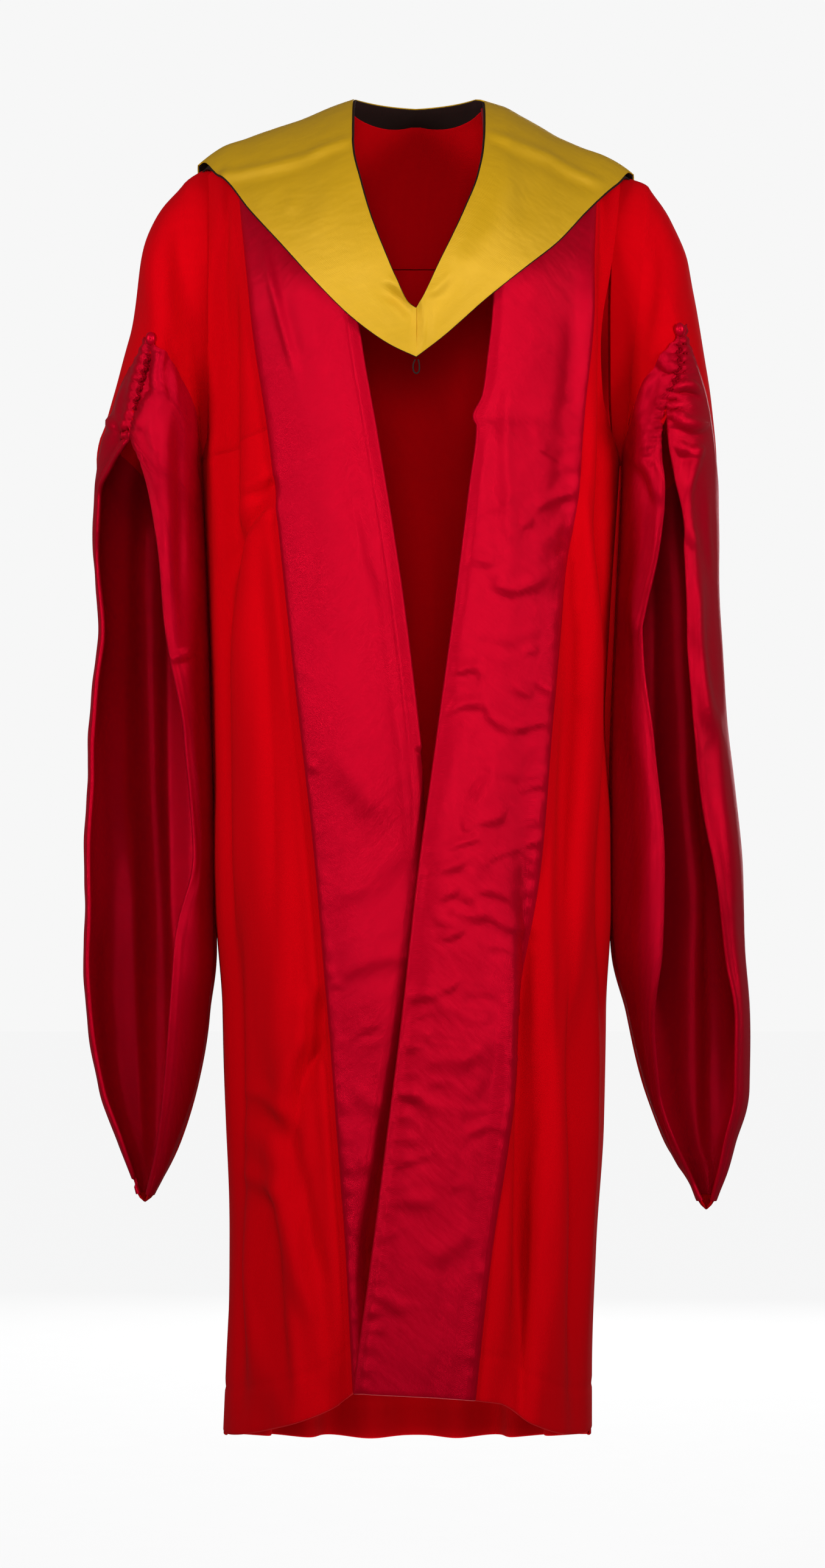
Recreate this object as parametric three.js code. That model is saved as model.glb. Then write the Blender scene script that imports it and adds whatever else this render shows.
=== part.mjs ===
// A doctor's graduation gown with its hood, as it hangs on a wearer's shoulders.
// Millimetres. +X is the wearer's left (the viewer's right), -Y is the front, +Z is up.
// The origin is the middle of the shoulder line. "left" and "right" in names are the viewer's.
import * as THREE from "three";

// Cloth
const WOOL = 1.6;
const SILK = 1.1;
const SEAM_GAP = 0.35;

// Body of the gown
const MIDDLE_Y = 12;
const ROUNDNESS = 2.4;
const NECK_X = 60;
const NECK_Z = 24;
const SHOULDER_SLOPE = 0.3;
const SHOULDER_X = 190;
const SHOULDER_DROP = 13;
const FRONT_REACH_DOWN = 170;
const FRONT_BEND = 1.5;
const BACK_REACH_DOWN = 120;
const BACK_BEND = 1.7;
const NECK_SCOOP = 52;
const UNDERARM_Z = -300;
const YOKE_Z = -112;
const FACING_WIDTH = 105;
const FACING_TURN_RADIUS = 11;
const FACING_TURN = THREE.MathUtils.degToRad(84);
const OVERLAP_LIFT = 5;
const OVERLAP_FROM = 540;
const OVERLAP_FULL = 680;
const BACK_HEM_Z = -1206;
const SIDE_HEM_Z = -1186;

// Flutes of the back
const FLUTES = 8;
const FLUTE_DEPTH = 13;
const FLUTE_INWARDS = 0.2;
const FLUTES_OPEN_BY = 260;
const FLUTES_AT_TOP = 0.75;
const FLUTE_FADE = 0.2;

// Folds fade in over the first share of their length and end past their last point.
const FOLD_FADE_IN = 0.3;
const FOLD_END = 1.25;

// Sleeve trimmings
const ARMHOLE_GAP = 1.5;
const GATHER_RING = 4;
const SLIT_RING = 6;
const CORD_RADIUS = 1.1;
const BUTTON_RADIUS = 5.5;
const BUTTON_HEIGHT = 3;
const BUTTON_BASE = 2;
const TRIM_INSET = 0.5;

// Hood
const HOOD_LIFT = 7;
const HOOD_LAYER = SILK + SEAM_GAP;
const HOOD_NECK_X = 56;
const HOOD_TIP_X = 198;
const HOOD_BACK_Z = -330;
const COWL_BULGE = 26;
const HOOD_BACK_FLARE = 16;
const HOOD_NECK_LIFT = 5;
const HOOD_NECK_SCOOP = 42;
const HOOD_BACK_CURVE = 1.4;
const HOOD_TIP_WIDTH = 7;
const LOOP_RADIUS = 0.75;
const LOOP_TOP_Z = -216.6;

// Grid sizes
const SHOULDER_ROWS = 6;
const FALL_ROWS = 15;
const FACING_COLUMNS = 5;
const SIDE_COLUMNS = 8;
const SLEEVE_COLUMNS = 14;
const TRIM_COLUMNS = 3;
const YOKE_ROWS = 4;
const YOKE_COLUMNS = 28;
const BACK_ROWS = 12;
const BACK_COLUMNS = FLUTES * 5;
const HOOD_ROWS = 12;
const HOOD_COLUMNS = 7;
const HOOD_BACK_ROWS = 10;
const HOOD_SHOULDER_COLUMNS = 6;
const HOOD_NECK_COLUMNS = 10;
const SOLVING_PASSES = 6;

// Sections of the body: half widths on the viewer's left and right, depths from the middle.
const BODY = [
  { z: 40, left: 206, right: 206, front: 132, back: 96 },
  { z: -60, left: 206, right: 206, front: 132, back: 96 },
  { z: -110, left: 199, right: 196, front: 134, back: 98 },
  { z: -170, left: 195, right: 189, front: 136, back: 101 },
  { z: -300, left: 190, right: 184, front: 138, back: 106 },
  { z: -450, left: 184, right: 177, front: 142, back: 112 },
  { z: -600, left: 180, right: 172, front: 147, back: 118 },
  { z: -770, left: 177, right: 173, front: 152, back: 126 },
  { z: -900, left: 173, right: 171, front: 156, back: 132 },
  { z: -1010, left: 169, right: 164, front: 159, back: 137 },
  { z: -1130, left: 173, right: 160, front: 162, back: 142 },
  { z: -1250, left: 178, right: 160, front: 164, back: 146 },
];

// Armhole: distance of its edge from the middle at each height.
const ARMHOLE = [
  { z: -28, left: 190, right: 190 },
  { z: -60, left: 188, right: 186 },
  { z: -110, left: 186, right: 182 },
  { z: -170, left: 186, right: 180 },
  { z: -240, left: 187, right: 180.5 },
  { z: -285, left: 189.4, right: 183.4 },
  { z: -300, left: 190, right: 184 },
];

// Front edges: where the facing's outer edge lies, and how much of the facing shows before it turns in.
const LEFT_FACING = [
  { z: 30, seam: -168, edge: -61, shown: 105 },
  { z: -68, seam: -159, edge: -62, shown: 105 },
  { z: -148, seam: -150, edge: -56, shown: 105 },
  { z: -200, seam: -144, edge: -50, shown: 105 },
  { z: -286, seam: -132, edge: -35, shown: 105 },
  { z: -433, seam: -115, edge: -12, shown: 105 },
  { z: -558, seam: -101, edge: 3, shown: 105 },
  { z: -662, seam: -91, edge: 14, shown: 96 },
  { z: -767, seam: -82, edge: 23, shown: 74 },
  { z: -871, seam: -73.5, edge: 31, shown: 48 },
  { z: -945, seam: -68, edge: 37, shown: 30 },
  { z: -1010, seam: -63, edge: 42, shown: 15 },
  { z: -1180, seam: -55, edge: 50, shown: 12 },
];
const RIGHT_FACING = [
  { z: 30, seam: 168, edge: 61, shown: 105 },
  { z: -68, seam: 163, edge: 66, shown: 105 },
  { z: -165, seam: 155, edge: 70, shown: 105 },
  { z: -217, seam: 151, edge: 65, shown: 105 },
  { z: -258, seam: 148, edge: 58, shown: 105 },
  { z: -329, seam: 143, edge: 49, shown: 105 },
  { z: -440, seam: 131, edge: 35, shown: 105 },
  { z: -558, seam: 118, edge: 19, shown: 105 },
  { z: -683, seam: 107.5, edge: 2, shown: 105 },
  { z: -801, seam: 93, edge: -11, shown: 105 },
  { z: -906, seam: 80, edge: -24, shown: 105 },
  { z: -1003, seam: 66, edge: -36, shown: 105 },
  { z: -1134, seam: 52, edge: -53, shown: 105 },
  { z: -1180, seam: 48, edge: -57, shown: 105 },
];

// Hem height at each place across the front.
const FRONT_HEM = [
  { x: -180, z: -1182 },
  { x: -140, z: -1168 },
  { x: -105, z: -1157 },
  { x: -75, z: -1143 },
  { x: -55, z: -1129 },
  { x: -20, z: -1130 },
  { x: 30, z: -1133 },
  { x: 75, z: -1139 },
  { x: 100, z: -1158 },
  { x: 135, z: -1172 },
  { x: 180, z: -1180 },
];
// Large soft folds of the two fronts, each along a line from top to bottom. Depth is + for a ridge.
const LEFT_FRONT_FOLDS = [
  { top: -70, topX: -172, bottom: -560, bottomX: -168, width: 13, depth: -6 },
  { top: -330, topX: -142, bottom: -1150, bottomX: -104, width: 16, depth: 6 },
  { top: -420, topX: -126, bottom: -900, bottomX: -92, width: 9, depth: -4 },
  { top: -620, topX: -160, bottom: -1180, bottomX: -140, width: 17, depth: -7 },
  { top: -800, topX: -140, bottom: -1120, bottomX: -78, width: 14, depth: -5 },
];
const RIGHT_FRONT_FOLDS = [
  { top: -60, topX: 176, bottom: -520, bottomX: 172, width: 12, depth: -7 },
  { top: -200, topX: 164, bottom: -760, bottomX: 136, width: 10, depth: 5 },
  { top: -540, topX: 150, bottom: -1180, bottomX: 96, width: 15, depth: 6 },
  { top: -700, topX: 134, bottom: -1170, bottomX: 72, width: 10, depth: -5 },
];

// Rings of a sleeve from armhole to tip: the outer side and the inner side next to the body, the depth
// of front and back, and how far the front bows up between the two sides (lean: more of it inwards).
const LEFT_SLEEVE = [
  { outer: 213, outerZ: -47, inner: 193.5, innerZ: -303, front: 60, back: 62, bow: 0, lean: 0.5 },
  { outer: 235, outerZ: -75, inner: 194, innerZ: -310, front: 72, back: 74, bow: 18, lean: 0.5 },
  { outer: 252, outerZ: -125, inner: 193.5, innerZ: -320, front: 80, back: 82, bow: 38, lean: 0.5 },
  { outer: 263, outerZ: -195, inner: 193, innerZ: -330, front: 84, back: 88, bow: 58, lean: 0.5 },
  { outer: 271, outerZ: -228, inner: 192, innerZ: -342, front: 86, back: 92, bow: 38, lean: 0.5 },
  { outer: 280, outerZ: -258, inner: 191, innerZ: -356, front: 85, back: 95, bow: 14, lean: 0.5 },
  { outer: 290, outerZ: -303, inner: 190, innerZ: -375, front: 82, back: 97, bow: 8, lean: 0.5 },
  { outer: 292, outerZ: -352, inner: 189, innerZ: -403, front: 79, back: 98, bow: 3, lean: 0 },
  { outer: 286, outerZ: -450, inner: 188, innerZ: -465, front: 74, back: 100, bow: 0, lean: 0 },
  { outer: 296, outerZ: -550, inner: 187, innerZ: -555, front: 70, back: 102, bow: 0, lean: 0 },
  { outer: 302, outerZ: -650, inner: 186, innerZ: -650, front: 66, back: 102, bow: 0, lean: 0 },
  { outer: 301, outerZ: -740, inner: 185, innerZ: -740, front: 62, back: 98, bow: 0, lean: 0 },
  { outer: 297, outerZ: -806, inner: 189, innerZ: -806, front: 56, back: 88, bow: 0, lean: 0 },
  { outer: 288, outerZ: -870, inner: 200, innerZ: -870, front: 44, back: 70, bow: 0, lean: 0 },
  { outer: 270, outerZ: -920, inner: 216, innerZ: -920, front: 30, back: 48, bow: 0, lean: 0 },
  { outer: 256, outerZ: -958, inner: 235, innerZ: -958, front: 16, back: 24, bow: 0, lean: 0 },
  { outer: 252, outerZ: -974, inner: 243, innerZ: -974, front: 8, back: 11, bow: 0, lean: 0 },
];
const RIGHT_SLEEVE = [
  { outer: 212, outerZ: -47, inner: 187.5, innerZ: -303, front: 60, back: 62, bow: 0, lean: 1 },
  { outer: 231, outerZ: -75, inner: 188, innerZ: -310, front: 72, back: 74, bow: 8, lean: 1.2 },
  { outer: 244, outerZ: -118, inner: 188, innerZ: -320, front: 80, back: 82, bow: 20, lean: 1.4 },
  { outer: 255, outerZ: -158, inner: 187.5, innerZ: -330, front: 84, back: 88, bow: 36, lean: 1 },
  { outer: 263, outerZ: -205, inner: 187, innerZ: -341, front: 85, back: 92, bow: 42, lean: 0.8 },
  { outer: 270, outerZ: -252, inner: 186, innerZ: -354, front: 84, back: 95, bow: 42, lean: 0.5 },
  { outer: 275, outerZ: -302, inner: 185, innerZ: -376, front: 82, back: 97, bow: 26, lean: 0.7 },
  { outer: 274, outerZ: -356, inner: 184, innerZ: -404, front: 79, back: 98, bow: 12, lean: 0.4 },
  { outer: 277, outerZ: -450, inner: 183, innerZ: -465, front: 74, back: 100, bow: 0, lean: 0 },
  { outer: 284, outerZ: -550, inner: 182, innerZ: -555, front: 70, back: 102, bow: 0, lean: 0 },
  { outer: 292, outerZ: -650, inner: 181, innerZ: -650, front: 66, back: 102, bow: 0, lean: 0 },
  { outer: 300, outerZ: -740, inner: 183, innerZ: -740, front: 62, back: 98, bow: 0, lean: 0 },
  { outer: 303, outerZ: -806, inner: 194, innerZ: -806, front: 56, back: 88, bow: 0, lean: 0 },
  { outer: 301, outerZ: -870, inner: 207, innerZ: -870, front: 46, back: 70, bow: 0, lean: 0 },
  { outer: 289, outerZ: -920, inner: 228, innerZ: -920, front: 32, back: 50, bow: 0, lean: 0 },
  { outer: 277, outerZ: -960, inner: 253, innerZ: -960, front: 18, back: 26, bow: 0, lean: 0 },
  { outer: 270, outerZ: -981, inner: 261, innerZ: -981, front: 8, back: 11, bow: 0, lean: 0 },
];

// Slit of a sleeve at each height: its two edges, and how far each crimson turn-back reaches.
// Down to its top end the two edges are one: the line of the gathering cord.
const LEFT_SLIT = [
  { z: -190, outerEdge: 237, innerEdge: 237, outerTrim: 243, innerTrim: 200 },
  { z: -208, outerEdge: 240, innerEdge: 240, outerTrim: 251, innerTrim: 200 },
  { z: -236, outerEdge: 247, innerEdge: 247, outerTrim: 266, innerTrim: 200 },
  { z: -276, outerEdge: 256, innerEdge: 256, outerTrim: 279, innerTrim: 199 },
  { z: -306, outerEdge: 279, innerEdge: 245.5, outerTrim: 288.5, innerTrim: 197 },
  { z: -332, outerEdge: 288, innerEdge: 238, outerTrim: 291, innerTrim: 194 },
  { z: -370, outerEdge: 289, innerEdge: 232, outerTrim: 292, innerTrim: 192 },
  { z: -450, outerEdge: 284, innerEdge: 224, outerTrim: 287, innerTrim: 190 },
  { z: -550, outerEdge: 294, innerEdge: 208, outerTrim: 297, innerTrim: 188.5 },
  { z: -650, outerEdge: 300, innerEdge: 203, outerTrim: 303, innerTrim: 187.5 },
  { z: -740, outerEdge: 299, innerEdge: 216, outerTrim: 303, innerTrim: 187.5 },
  { z: -806, outerEdge: 295, innerEdge: 221, outerTrim: 299, innerTrim: 191 },
  { z: -870, outerEdge: 286, innerEdge: 227, outerTrim: 290, innerTrim: 202 },
  { z: -920, outerEdge: 268, innerEdge: 234, outerTrim: 272, innerTrim: 219 },
  { z: -974, outerEdge: 251, innerEdge: 246, outerTrim: 253, innerTrim: 243.5 },
];
const RIGHT_SLIT = [
  { z: -190, outerEdge: 237, innerEdge: 237, outerTrim: 243, innerTrim: 191 },
  { z: -213, outerEdge: 236, innerEdge: 236, outerTrim: 251, innerTrim: 191 },
  { z: -228, outerEdge: 234, innerEdge: 234, outerTrim: 256, innerTrim: 191 },
  { z: -247, outerEdge: 226, innerEdge: 226, outerTrim: 262, innerTrim: 190.5 },
  { z: -286, outerEdge: 228.5, innerEdge: 217.5, outerTrim: 270, innerTrim: 189 },
  { z: -328, outerEdge: 236.5, innerEdge: 222, outerTrim: 274, innerTrim: 188 },
  { z: -367, outerEdge: 241.5, innerEdge: 219, outerTrim: 274, innerTrim: 187 },
  { z: -460, outerEdge: 245, innerEdge: 204, outerTrim: 277, innerTrim: 185 },
  { z: -554, outerEdge: 254, innerEdge: 214, outerTrim: 284, innerTrim: 184 },
  { z: -669, outerEdge: 272, innerEdge: 223, outerTrim: 293, innerTrim: 183 },
  { z: -740, outerEdge: 283, innerEdge: 222, outerTrim: 300, innerTrim: 185.5 },
  { z: -808, outerEdge: 290, innerEdge: 215, outerTrim: 303, innerTrim: 196.5 },
  { z: -870, outerEdge: 290, innerEdge: 219, outerTrim: 301, innerTrim: 209.5 },
  { z: -920, outerEdge: 281, innerEdge: 236, outerTrim: 290, innerTrim: 230.5 },
  { z: -981, outerEdge: 268.5, innerEdge: 264, outerTrim: 270, innerTrim: 262 },
];

// Front of the hood from the shoulder ridge to the centre: its neck edge and its lower edge.
const LEFT_HOOD = [
  { along: 0, neckX: -56, neckZ: 34, lowX: -198, lowZ: -28 },
  { along: 0.12, neckX: -57.5, neckZ: 10, lowX: -188, lowZ: -34 },
  { along: 0.24, neckX: -57, neckZ: -18, lowX: -172, lowZ: -45 },
  { along: 0.38, neckX: -49, neckZ: -56, lowX: -148, lowZ: -77 },
  { along: 0.52, neckX: -40, neckZ: -88, lowX: -120, lowZ: -110 },
  { along: 0.66, neckX: -28, neckZ: -120, lowX: -88, lowZ: -147 },
  { along: 0.8, neckX: -17, neckZ: -146, lowX: -56, lowZ: -179 },
  { along: 0.92, neckX: -7, neckZ: -166, lowX: -23, lowZ: -203 },
  { along: 1, neckX: 0, neckZ: -171, lowX: 0, lowZ: -214 },
];
const RIGHT_HOOD = [
  { along: 0, neckX: 62, neckZ: 34, lowX: 198, lowZ: -34 },
  { along: 0.12, neckX: 63, neckZ: 10, lowX: 191, lowZ: -40 },
  { along: 0.24, neckX: 61.5, neckZ: -18, lowX: 176, lowZ: -53 },
  { along: 0.38, neckX: 56, neckZ: -48, lowX: 153, lowZ: -77 },
  { along: 0.52, neckX: 44, neckZ: -80, lowX: 126, lowZ: -108 },
  { along: 0.66, neckX: 33, neckZ: -105, lowX: 97, lowZ: -133 },
  { along: 0.8, neckX: 19, neckZ: -134, lowX: 62, lowZ: -162 },
  { along: 0.92, neckX: 7, neckZ: -160, lowX: 24, lowZ: -196 },
  { along: 1, neckX: 0.6, neckZ: -171, lowX: 0.6, lowZ: -214 },
];

// The cord loop at the point of the hood: places across and down from its top.
const LOOP = [
  { x: -0.6, down: 0 },
  { x: -2.4, down: 5 },
  { x: -2, down: 10.5 },
  { x: 0.4, down: 12.6 },
  { x: 2.8, down: 10.5 },
  { x: 3, down: 5 },
  { x: 2, down: 0 },
];

const { clamp, lerp, smoothstep } = THREE.MathUtils;

// A column of a table read at any place, as a smooth curve that never overshoots its rows.
function read(table, key, place, column) {
  const rising = table[table.length - 1][key] > table[0][key];
  const rows = rising ? table : [...table].reverse();
  const last = rows.length - 1;
  if (place <= rows[0][key]) return rows[0][column];
  if (place >= rows[last][key]) return rows[last][column];
  let i = 0;
  while (rows[i + 1][key] < place) i += 1;
  const slope = (k) => (rows[k + 1][column] - rows[k][column]) / (rows[k + 1][key] - rows[k][key]);
  const tangent = (k) => {
    if (k === 0 || k === last) return k === 0 ? slope(0) : slope(last - 1);
    const before = slope(k - 1);
    const after = slope(k);
    return before * after <= 0 ? 0 : (2 * before * after) / (before + after);
  };
  const step = rows[i + 1][key] - rows[i][key];
  const t = (place - rows[i][key]) / step;
  const t2 = t * t;
  const t3 = t2 * t;
  return (
    (2 * t3 - 3 * t2 + 1) * rows[i][column] +
    (t3 - 2 * t2 + t) * step * tangent(i) +
    (3 * t2 - 2 * t3) * rows[i + 1][column] +
    (t3 - t2) * step * tangent(i + 1)
  );
}

const sideName = (x) => (x < 0 ? "left" : "right");

// Height of the shoulder ridge at a distance from the middle.
function shoulderZ(x) {
  const out = Math.abs(x) - NECK_X;
  const share = Math.max(out, 0) / (SHOULDER_X - NECK_X);
  return NECK_Z - SHOULDER_SLOPE * out - SHOULDER_DROP * share ** 5;
}

// Depth of a body section at x: a superellipse of the table's half width and depth.
function sectionDepth(x, z, depthName, lift) {
  const half = read(BODY, "z", z, sideName(x)) + lift;
  const depth = read(BODY, "z", z, depthName) + lift;
  const share = clamp(Math.abs(x) / half, 0, 1);
  return depth * (1 - share ** ROUNDNESS) ** (1 / ROUNDNESS);
}

// The front (or back) face of the gown at x and z, with a lift outwards.
// Over the shoulder it bends from the ridge down to the full depth of the section.
function faceY(x, z, front, lift = 0) {
  const down = front ? FRONT_REACH_DOWN : BACK_REACH_DOWN;
  const bend = front ? FRONT_BEND : BACK_BEND;
  const drop = clamp((shoulderZ(x) + lift - z) / down, 0, 1);
  const reach = (1 - (1 - drop) ** bend) ** (1 / bend);
  const depth = sectionDepth(x, z, front ? "front" : "back", lift) * reach;
  return front ? MIDDLE_Y - depth : MIDDLE_Y + depth;
}

// A point of a section moved straight out from it, for a fold's ridge or trough.
function movedOut(x, y, z, lift) {
  const half = read(BODY, "z", z, sideName(x));
  const depth = read(BODY, "z", z, y < MIDDLE_Y ? "front" : "back");
  const outX = Math.abs(x / half) ** (ROUNDNESS - 1) / half;
  const outY = Math.abs((y - MIDDLE_Y) / depth) ** (ROUNDNESS - 1) / depth;
  const length = Math.hypot(outX, outY);
  const newX = x + (Math.sign(x) * lift * outX) / length;
  const newY = y + (Math.sign(y - MIDDLE_Y) * lift * outY) / length;
  return new THREE.Vector3(newX, newY, z);
}

// A grid of points with the outward normal at each. Rows where "joined" is true close on themselves.
function makeCloth(rows, joined = () => false) {
  const normals = rows.map((row) => row.map(() => new THREE.Vector3()));
  const add = (r, c, normal) => {
    normals[r][c].add(normal);
    const last = rows[r].length - 1;
    if (joined(r) && c === 0) normals[r][last].add(normal);
    if (joined(r) && c === last) normals[r][0].add(normal);
  };
  for (let r = 0; r + 1 < rows.length; r += 1) {
    for (let c = 0; c + 1 < rows[r].length; c += 1) {
      const across = rows[r][c + 1].clone().sub(rows[r][c]);
      across.add(rows[r + 1][c + 1]).sub(rows[r + 1][c]);
      const down = rows[r + 1][c].clone().sub(rows[r][c]);
      down.add(rows[r + 1][c + 1]).sub(rows[r][c + 1]);
      const normal = down.cross(across);
      for (const [rr, cc] of [[r, c], [r, c + 1], [r + 1, c], [r + 1, c + 1]]) add(rr, cc, normal);
    }
  }
  for (const row of normals) for (const normal of row) normal.normalize();
  return { rows, normals, joined };
}

function moveTowards(point, target, distance) {
  point.addScaledVector(target.clone().sub(point).normalize(), distance);
}

// A closed wall over part of a cloth: an outer and an inner sheet, and a rim round every free edge.
function wall(cloth, thickness, options = {}) {
  const { offset = 0, inset = 0 } = options;
  const { fromRow = 0, toRow = cloth.rows.length - 1 } = options;
  const { fromColumn = 0, toColumn = cloth.rows[0].length - 1 } = options;
  const wholeWidth = fromColumn === 0 && toColumn === cloth.rows[0].length - 1;
  const outer = [];
  const inner = [];
  const index = [];
  for (let r = fromRow; r <= toRow; r += 1) {
    const line = [];
    for (let c = fromColumn; c <= toColumn; c += 1) {
      if (wholeWidth && cloth.joined(r) && c === toColumn) {
        line.push(line[0]);
        continue;
      }
      const point = cloth.rows[r][c].clone();
      const normal = cloth.normals[r][c];
      if (inset && c === fromColumn) moveTowards(point, cloth.rows[r][c + 1], inset);
      if (inset && c === toColumn) moveTowards(point, cloth.rows[r][c - 1], inset);
      outer.push(point.clone().addScaledVector(normal, offset + thickness / 2));
      inner.push(point.clone().addScaledVector(normal, offset - thickness / 2));
      line.push(outer.length - 1);
    }
    index.push(line);
  }
  const sheet = [];
  for (let r = 0; r + 1 < index.length; r += 1) {
    for (let c = 0; c + 1 < index[r].length; c += 1) {
      const [a, b, d, e] = [index[r][c], index[r][c + 1], index[r + 1][c], index[r + 1][c + 1]];
      sheet.push([a, d, b], [b, d, e]);
    }
  }
  const edges = new Set();
  for (const [a, b, c] of sheet) for (const [p, q] of [[a, b], [b, c], [c, a]]) edges.add(p + "," + q);
  const count = outer.length;
  const faces = [];
  for (const [a, b, c] of sheet) {
    faces.push(a, b, c, a + count, c + count, b + count);
    for (const [p, q] of [[a, b], [b, c], [c, a]]) {
      if (!edges.has(q + "," + p)) faces.push(q, p, p + count, q, p + count, q + count);
    }
  }
  const geometry = new THREE.BufferGeometry();
  geometry.setFromPoints([...outer, ...inner]);
  geometry.setIndex(faces);
  geometry.computeVertexNormals();
  return geometry;
}

// Soft ridges and troughs: each is a smooth hump across its line, fading in and out along it.
function foldLift(folds, x, z) {
  let lift = 0;
  for (const fold of folds) {
    const along = (fold.top - z) / (fold.top - fold.bottom);
    if (along <= 0 || along >= FOLD_END) continue;
    const across = (x - lerp(fold.topX, fold.bottomX, along)) / fold.width;
    const fade = smoothstep(along, 0, FOLD_FADE_IN) * (1 - smoothstep(along, 1, FOLD_END));
    lift += fold.depth * fade * Math.exp(-across * across);
  }
  return lift;
}

// One front from its free edge to its side, from the shoulder to the hem, as a grid.
// A column lies between the facing's two edges, or on round the section to the side seam or armhole.
function frontCloth(side, facing, folds) {
  const columns = FACING_COLUMNS + SIDE_COLUMNS;
  const name = sideName(side);
  const half = (z) => read(BODY, "z", z, name);
  const overlap = (z) => smoothstep(-z, OVERLAP_FROM, OVERLAP_FULL) * OVERLAP_LIFT;
  const layer = side > 0 ? 1 : -1;
  const onSection = (x, z, lift) => movedOut(x, Math.min(faceY(x, z, true), MIDDLE_Y - SEAM_GAP), z, lift);

  function place(column, z) {
    const seam = Math.abs(read(facing, "z", z, "seam"));
    if (column < FACING_COLUMNS) {
      const edge = side * read(facing, "z", z, "edge");
      return lerp(edge, seam, column / FACING_COLUMNS);
    }
    const out = (column - FACING_COLUMNS) / SIDE_COLUMNS;
    const reach = z > UNDERARM_Z ? read(ARMHOLE, "z", z, name) : half(z);
    const angle = (x) => Math.acos(Math.min(x / half(z), 1) ** (ROUNDNESS / 2));
    return half(z) * Math.cos(lerp(angle(seam), angle(reach), out)) ** (2 / ROUNDNESS);
  }

  function pointAt(row, column) {
    let z = -100;
    let x = SHOULDER_X / 2;
    const top = Math.max(0.02, row / SHOULDER_ROWS) * (Math.PI / 2);
    for (let pass = 0; pass < SOLVING_PASSES; pass += 1) {
      const ridge = shoulderZ(x);
      if (row <= SHOULDER_ROWS) {
        z = ridge - FRONT_REACH_DOWN * (1 - Math.cos(top) ** (2 / FRONT_BEND));
      } else {
        const hem = read(FRONT_HEM, "x", side * x, "z");
        z = lerp(ridge - FRONT_REACH_DOWN, hem, (row - SHOULDER_ROWS) / FALL_ROWS);
      }
      x = place(column, z);
    }
    const near = 1 - smoothstep(x, NECK_X, 150);
    const lift = layer * overlap(z) * near + foldLift(folds, side * x, z);
    const shown = read(facing, "z", z, "shown");
    const seam = Math.abs(read(facing, "z", z, "seam"));
    const along = (seam - x) * (FACING_WIDTH / (seam - side * read(facing, "z", z, "edge")));
    const straight = shown - FACING_TURN_RADIUS;
    if (column >= FACING_COLUMNS || shown >= FACING_WIDTH || along <= straight) {
      return onSection(side * x, z, lift);
    }
    const bendX = seam - straight;
    const bendY = onSection(side * bendX, z, lift).y;
    const bent = Math.min((along - straight) / FACING_TURN_RADIUS, FACING_TURN);
    const rest = along - straight - bent * FACING_TURN_RADIUS;
    const inX = bendX - FACING_TURN_RADIUS * Math.sin(bent) - rest * Math.cos(bent);
    const inY = bendY + FACING_TURN_RADIUS * (1 - Math.cos(bent)) + rest * Math.sin(bent);
    return new THREE.Vector3(side * inX, inY, z);
  }

  const rows = [];
  for (let row = 0; row <= SHOULDER_ROWS + FALL_ROWS; row += 1) {
    const line = [];
    for (let column = 0; column <= columns; column += 1) line.push(pointAt(row, column));
    if (side > 0) line.reverse();
    rows.push(line);
  }
  return makeCloth(rows.map((line) => line.reverse()));
}

// The back, from the viewer's left to right as seen from the front, above or below the yoke seam.
function backCloth(fromZ, toZ, rowCount, columnCount) {
  const rows = [];
  for (let row = 0; row <= rowCount; row += 1) {
    const line = [];
    for (let column = 0; column <= columnCount; column += 1) {
      line.push(backPoint(row / rowCount, column / columnCount, fromZ, toZ));
    }
    rows.push(line);
  }
  return makeCloth(rows);
}

// Ring angle 0 is the viewer's right side seam, half a turn is the left one.
function backPoint(down, across, fromZ, toZ) {
  const yoke = fromZ === null;
  let x = 0;
  let z = -60;
  for (let pass = 0; pass < SOLVING_PASSES; pass += 1) {
    const hem = lerp(SIDE_HEM_Z, BACK_HEM_Z, Math.sin(Math.PI * across));
    const scoop = Math.abs(x) < NECK_X ? Math.sqrt(1 - (x / NECK_X) ** 2) : 0;
    const scooped = NECK_SCOOP * scoop + SEAM_GAP;
    const depth = sectionDepth(x, z, "back", 0);
    const start = 1 - (1 - Math.min(scooped / depth, 1) ** BACK_BEND) ** (1 / BACK_BEND);
    const top = shoulderZ(x) - BACK_REACH_DOWN * start;
    z = yoke ? lerp(top, toZ, down) : lerp(fromZ, hem, down);
    const name = across < 0.5 ? "right" : "left";
    const half = read(BODY, "z", z, name);
    const reach = z > UNDERARM_Z ? read(ARMHOLE, "z", z, name) : half;
    const angle = Math.acos((reach / half) ** (ROUNDNESS / 2));
    const turn = lerp(angle, Math.PI - angle, across);
    const cosine = Math.cos(turn);
    x = Math.sign(cosine) * half * Math.abs(cosine) ** (2 / ROUNDNESS);
  }
  const topPart = smoothstep(YOKE_Z - z, 0, FLUTES_OPEN_BY);
  const lowPart = smoothstep(z, BACK_HEM_Z, UNDERARM_Z);
  const open = FLUTES_AT_TOP * topPart + (1 - FLUTES_AT_TOP) * (1 - lowPart);
  const sides = smoothstep(Math.min(across, 1 - across), 0.03, FLUTE_FADE);
  const flute = Math.cos(2 * Math.PI * FLUTES * across) - FLUTE_INWARDS;
  const lift = yoke ? 0 : FLUTE_DEPTH * open * sides * flute;
  return movedOut(x, Math.max(faceY(x, z, false), MIDDLE_Y + SEAM_GAP), z, lift);
}

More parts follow.
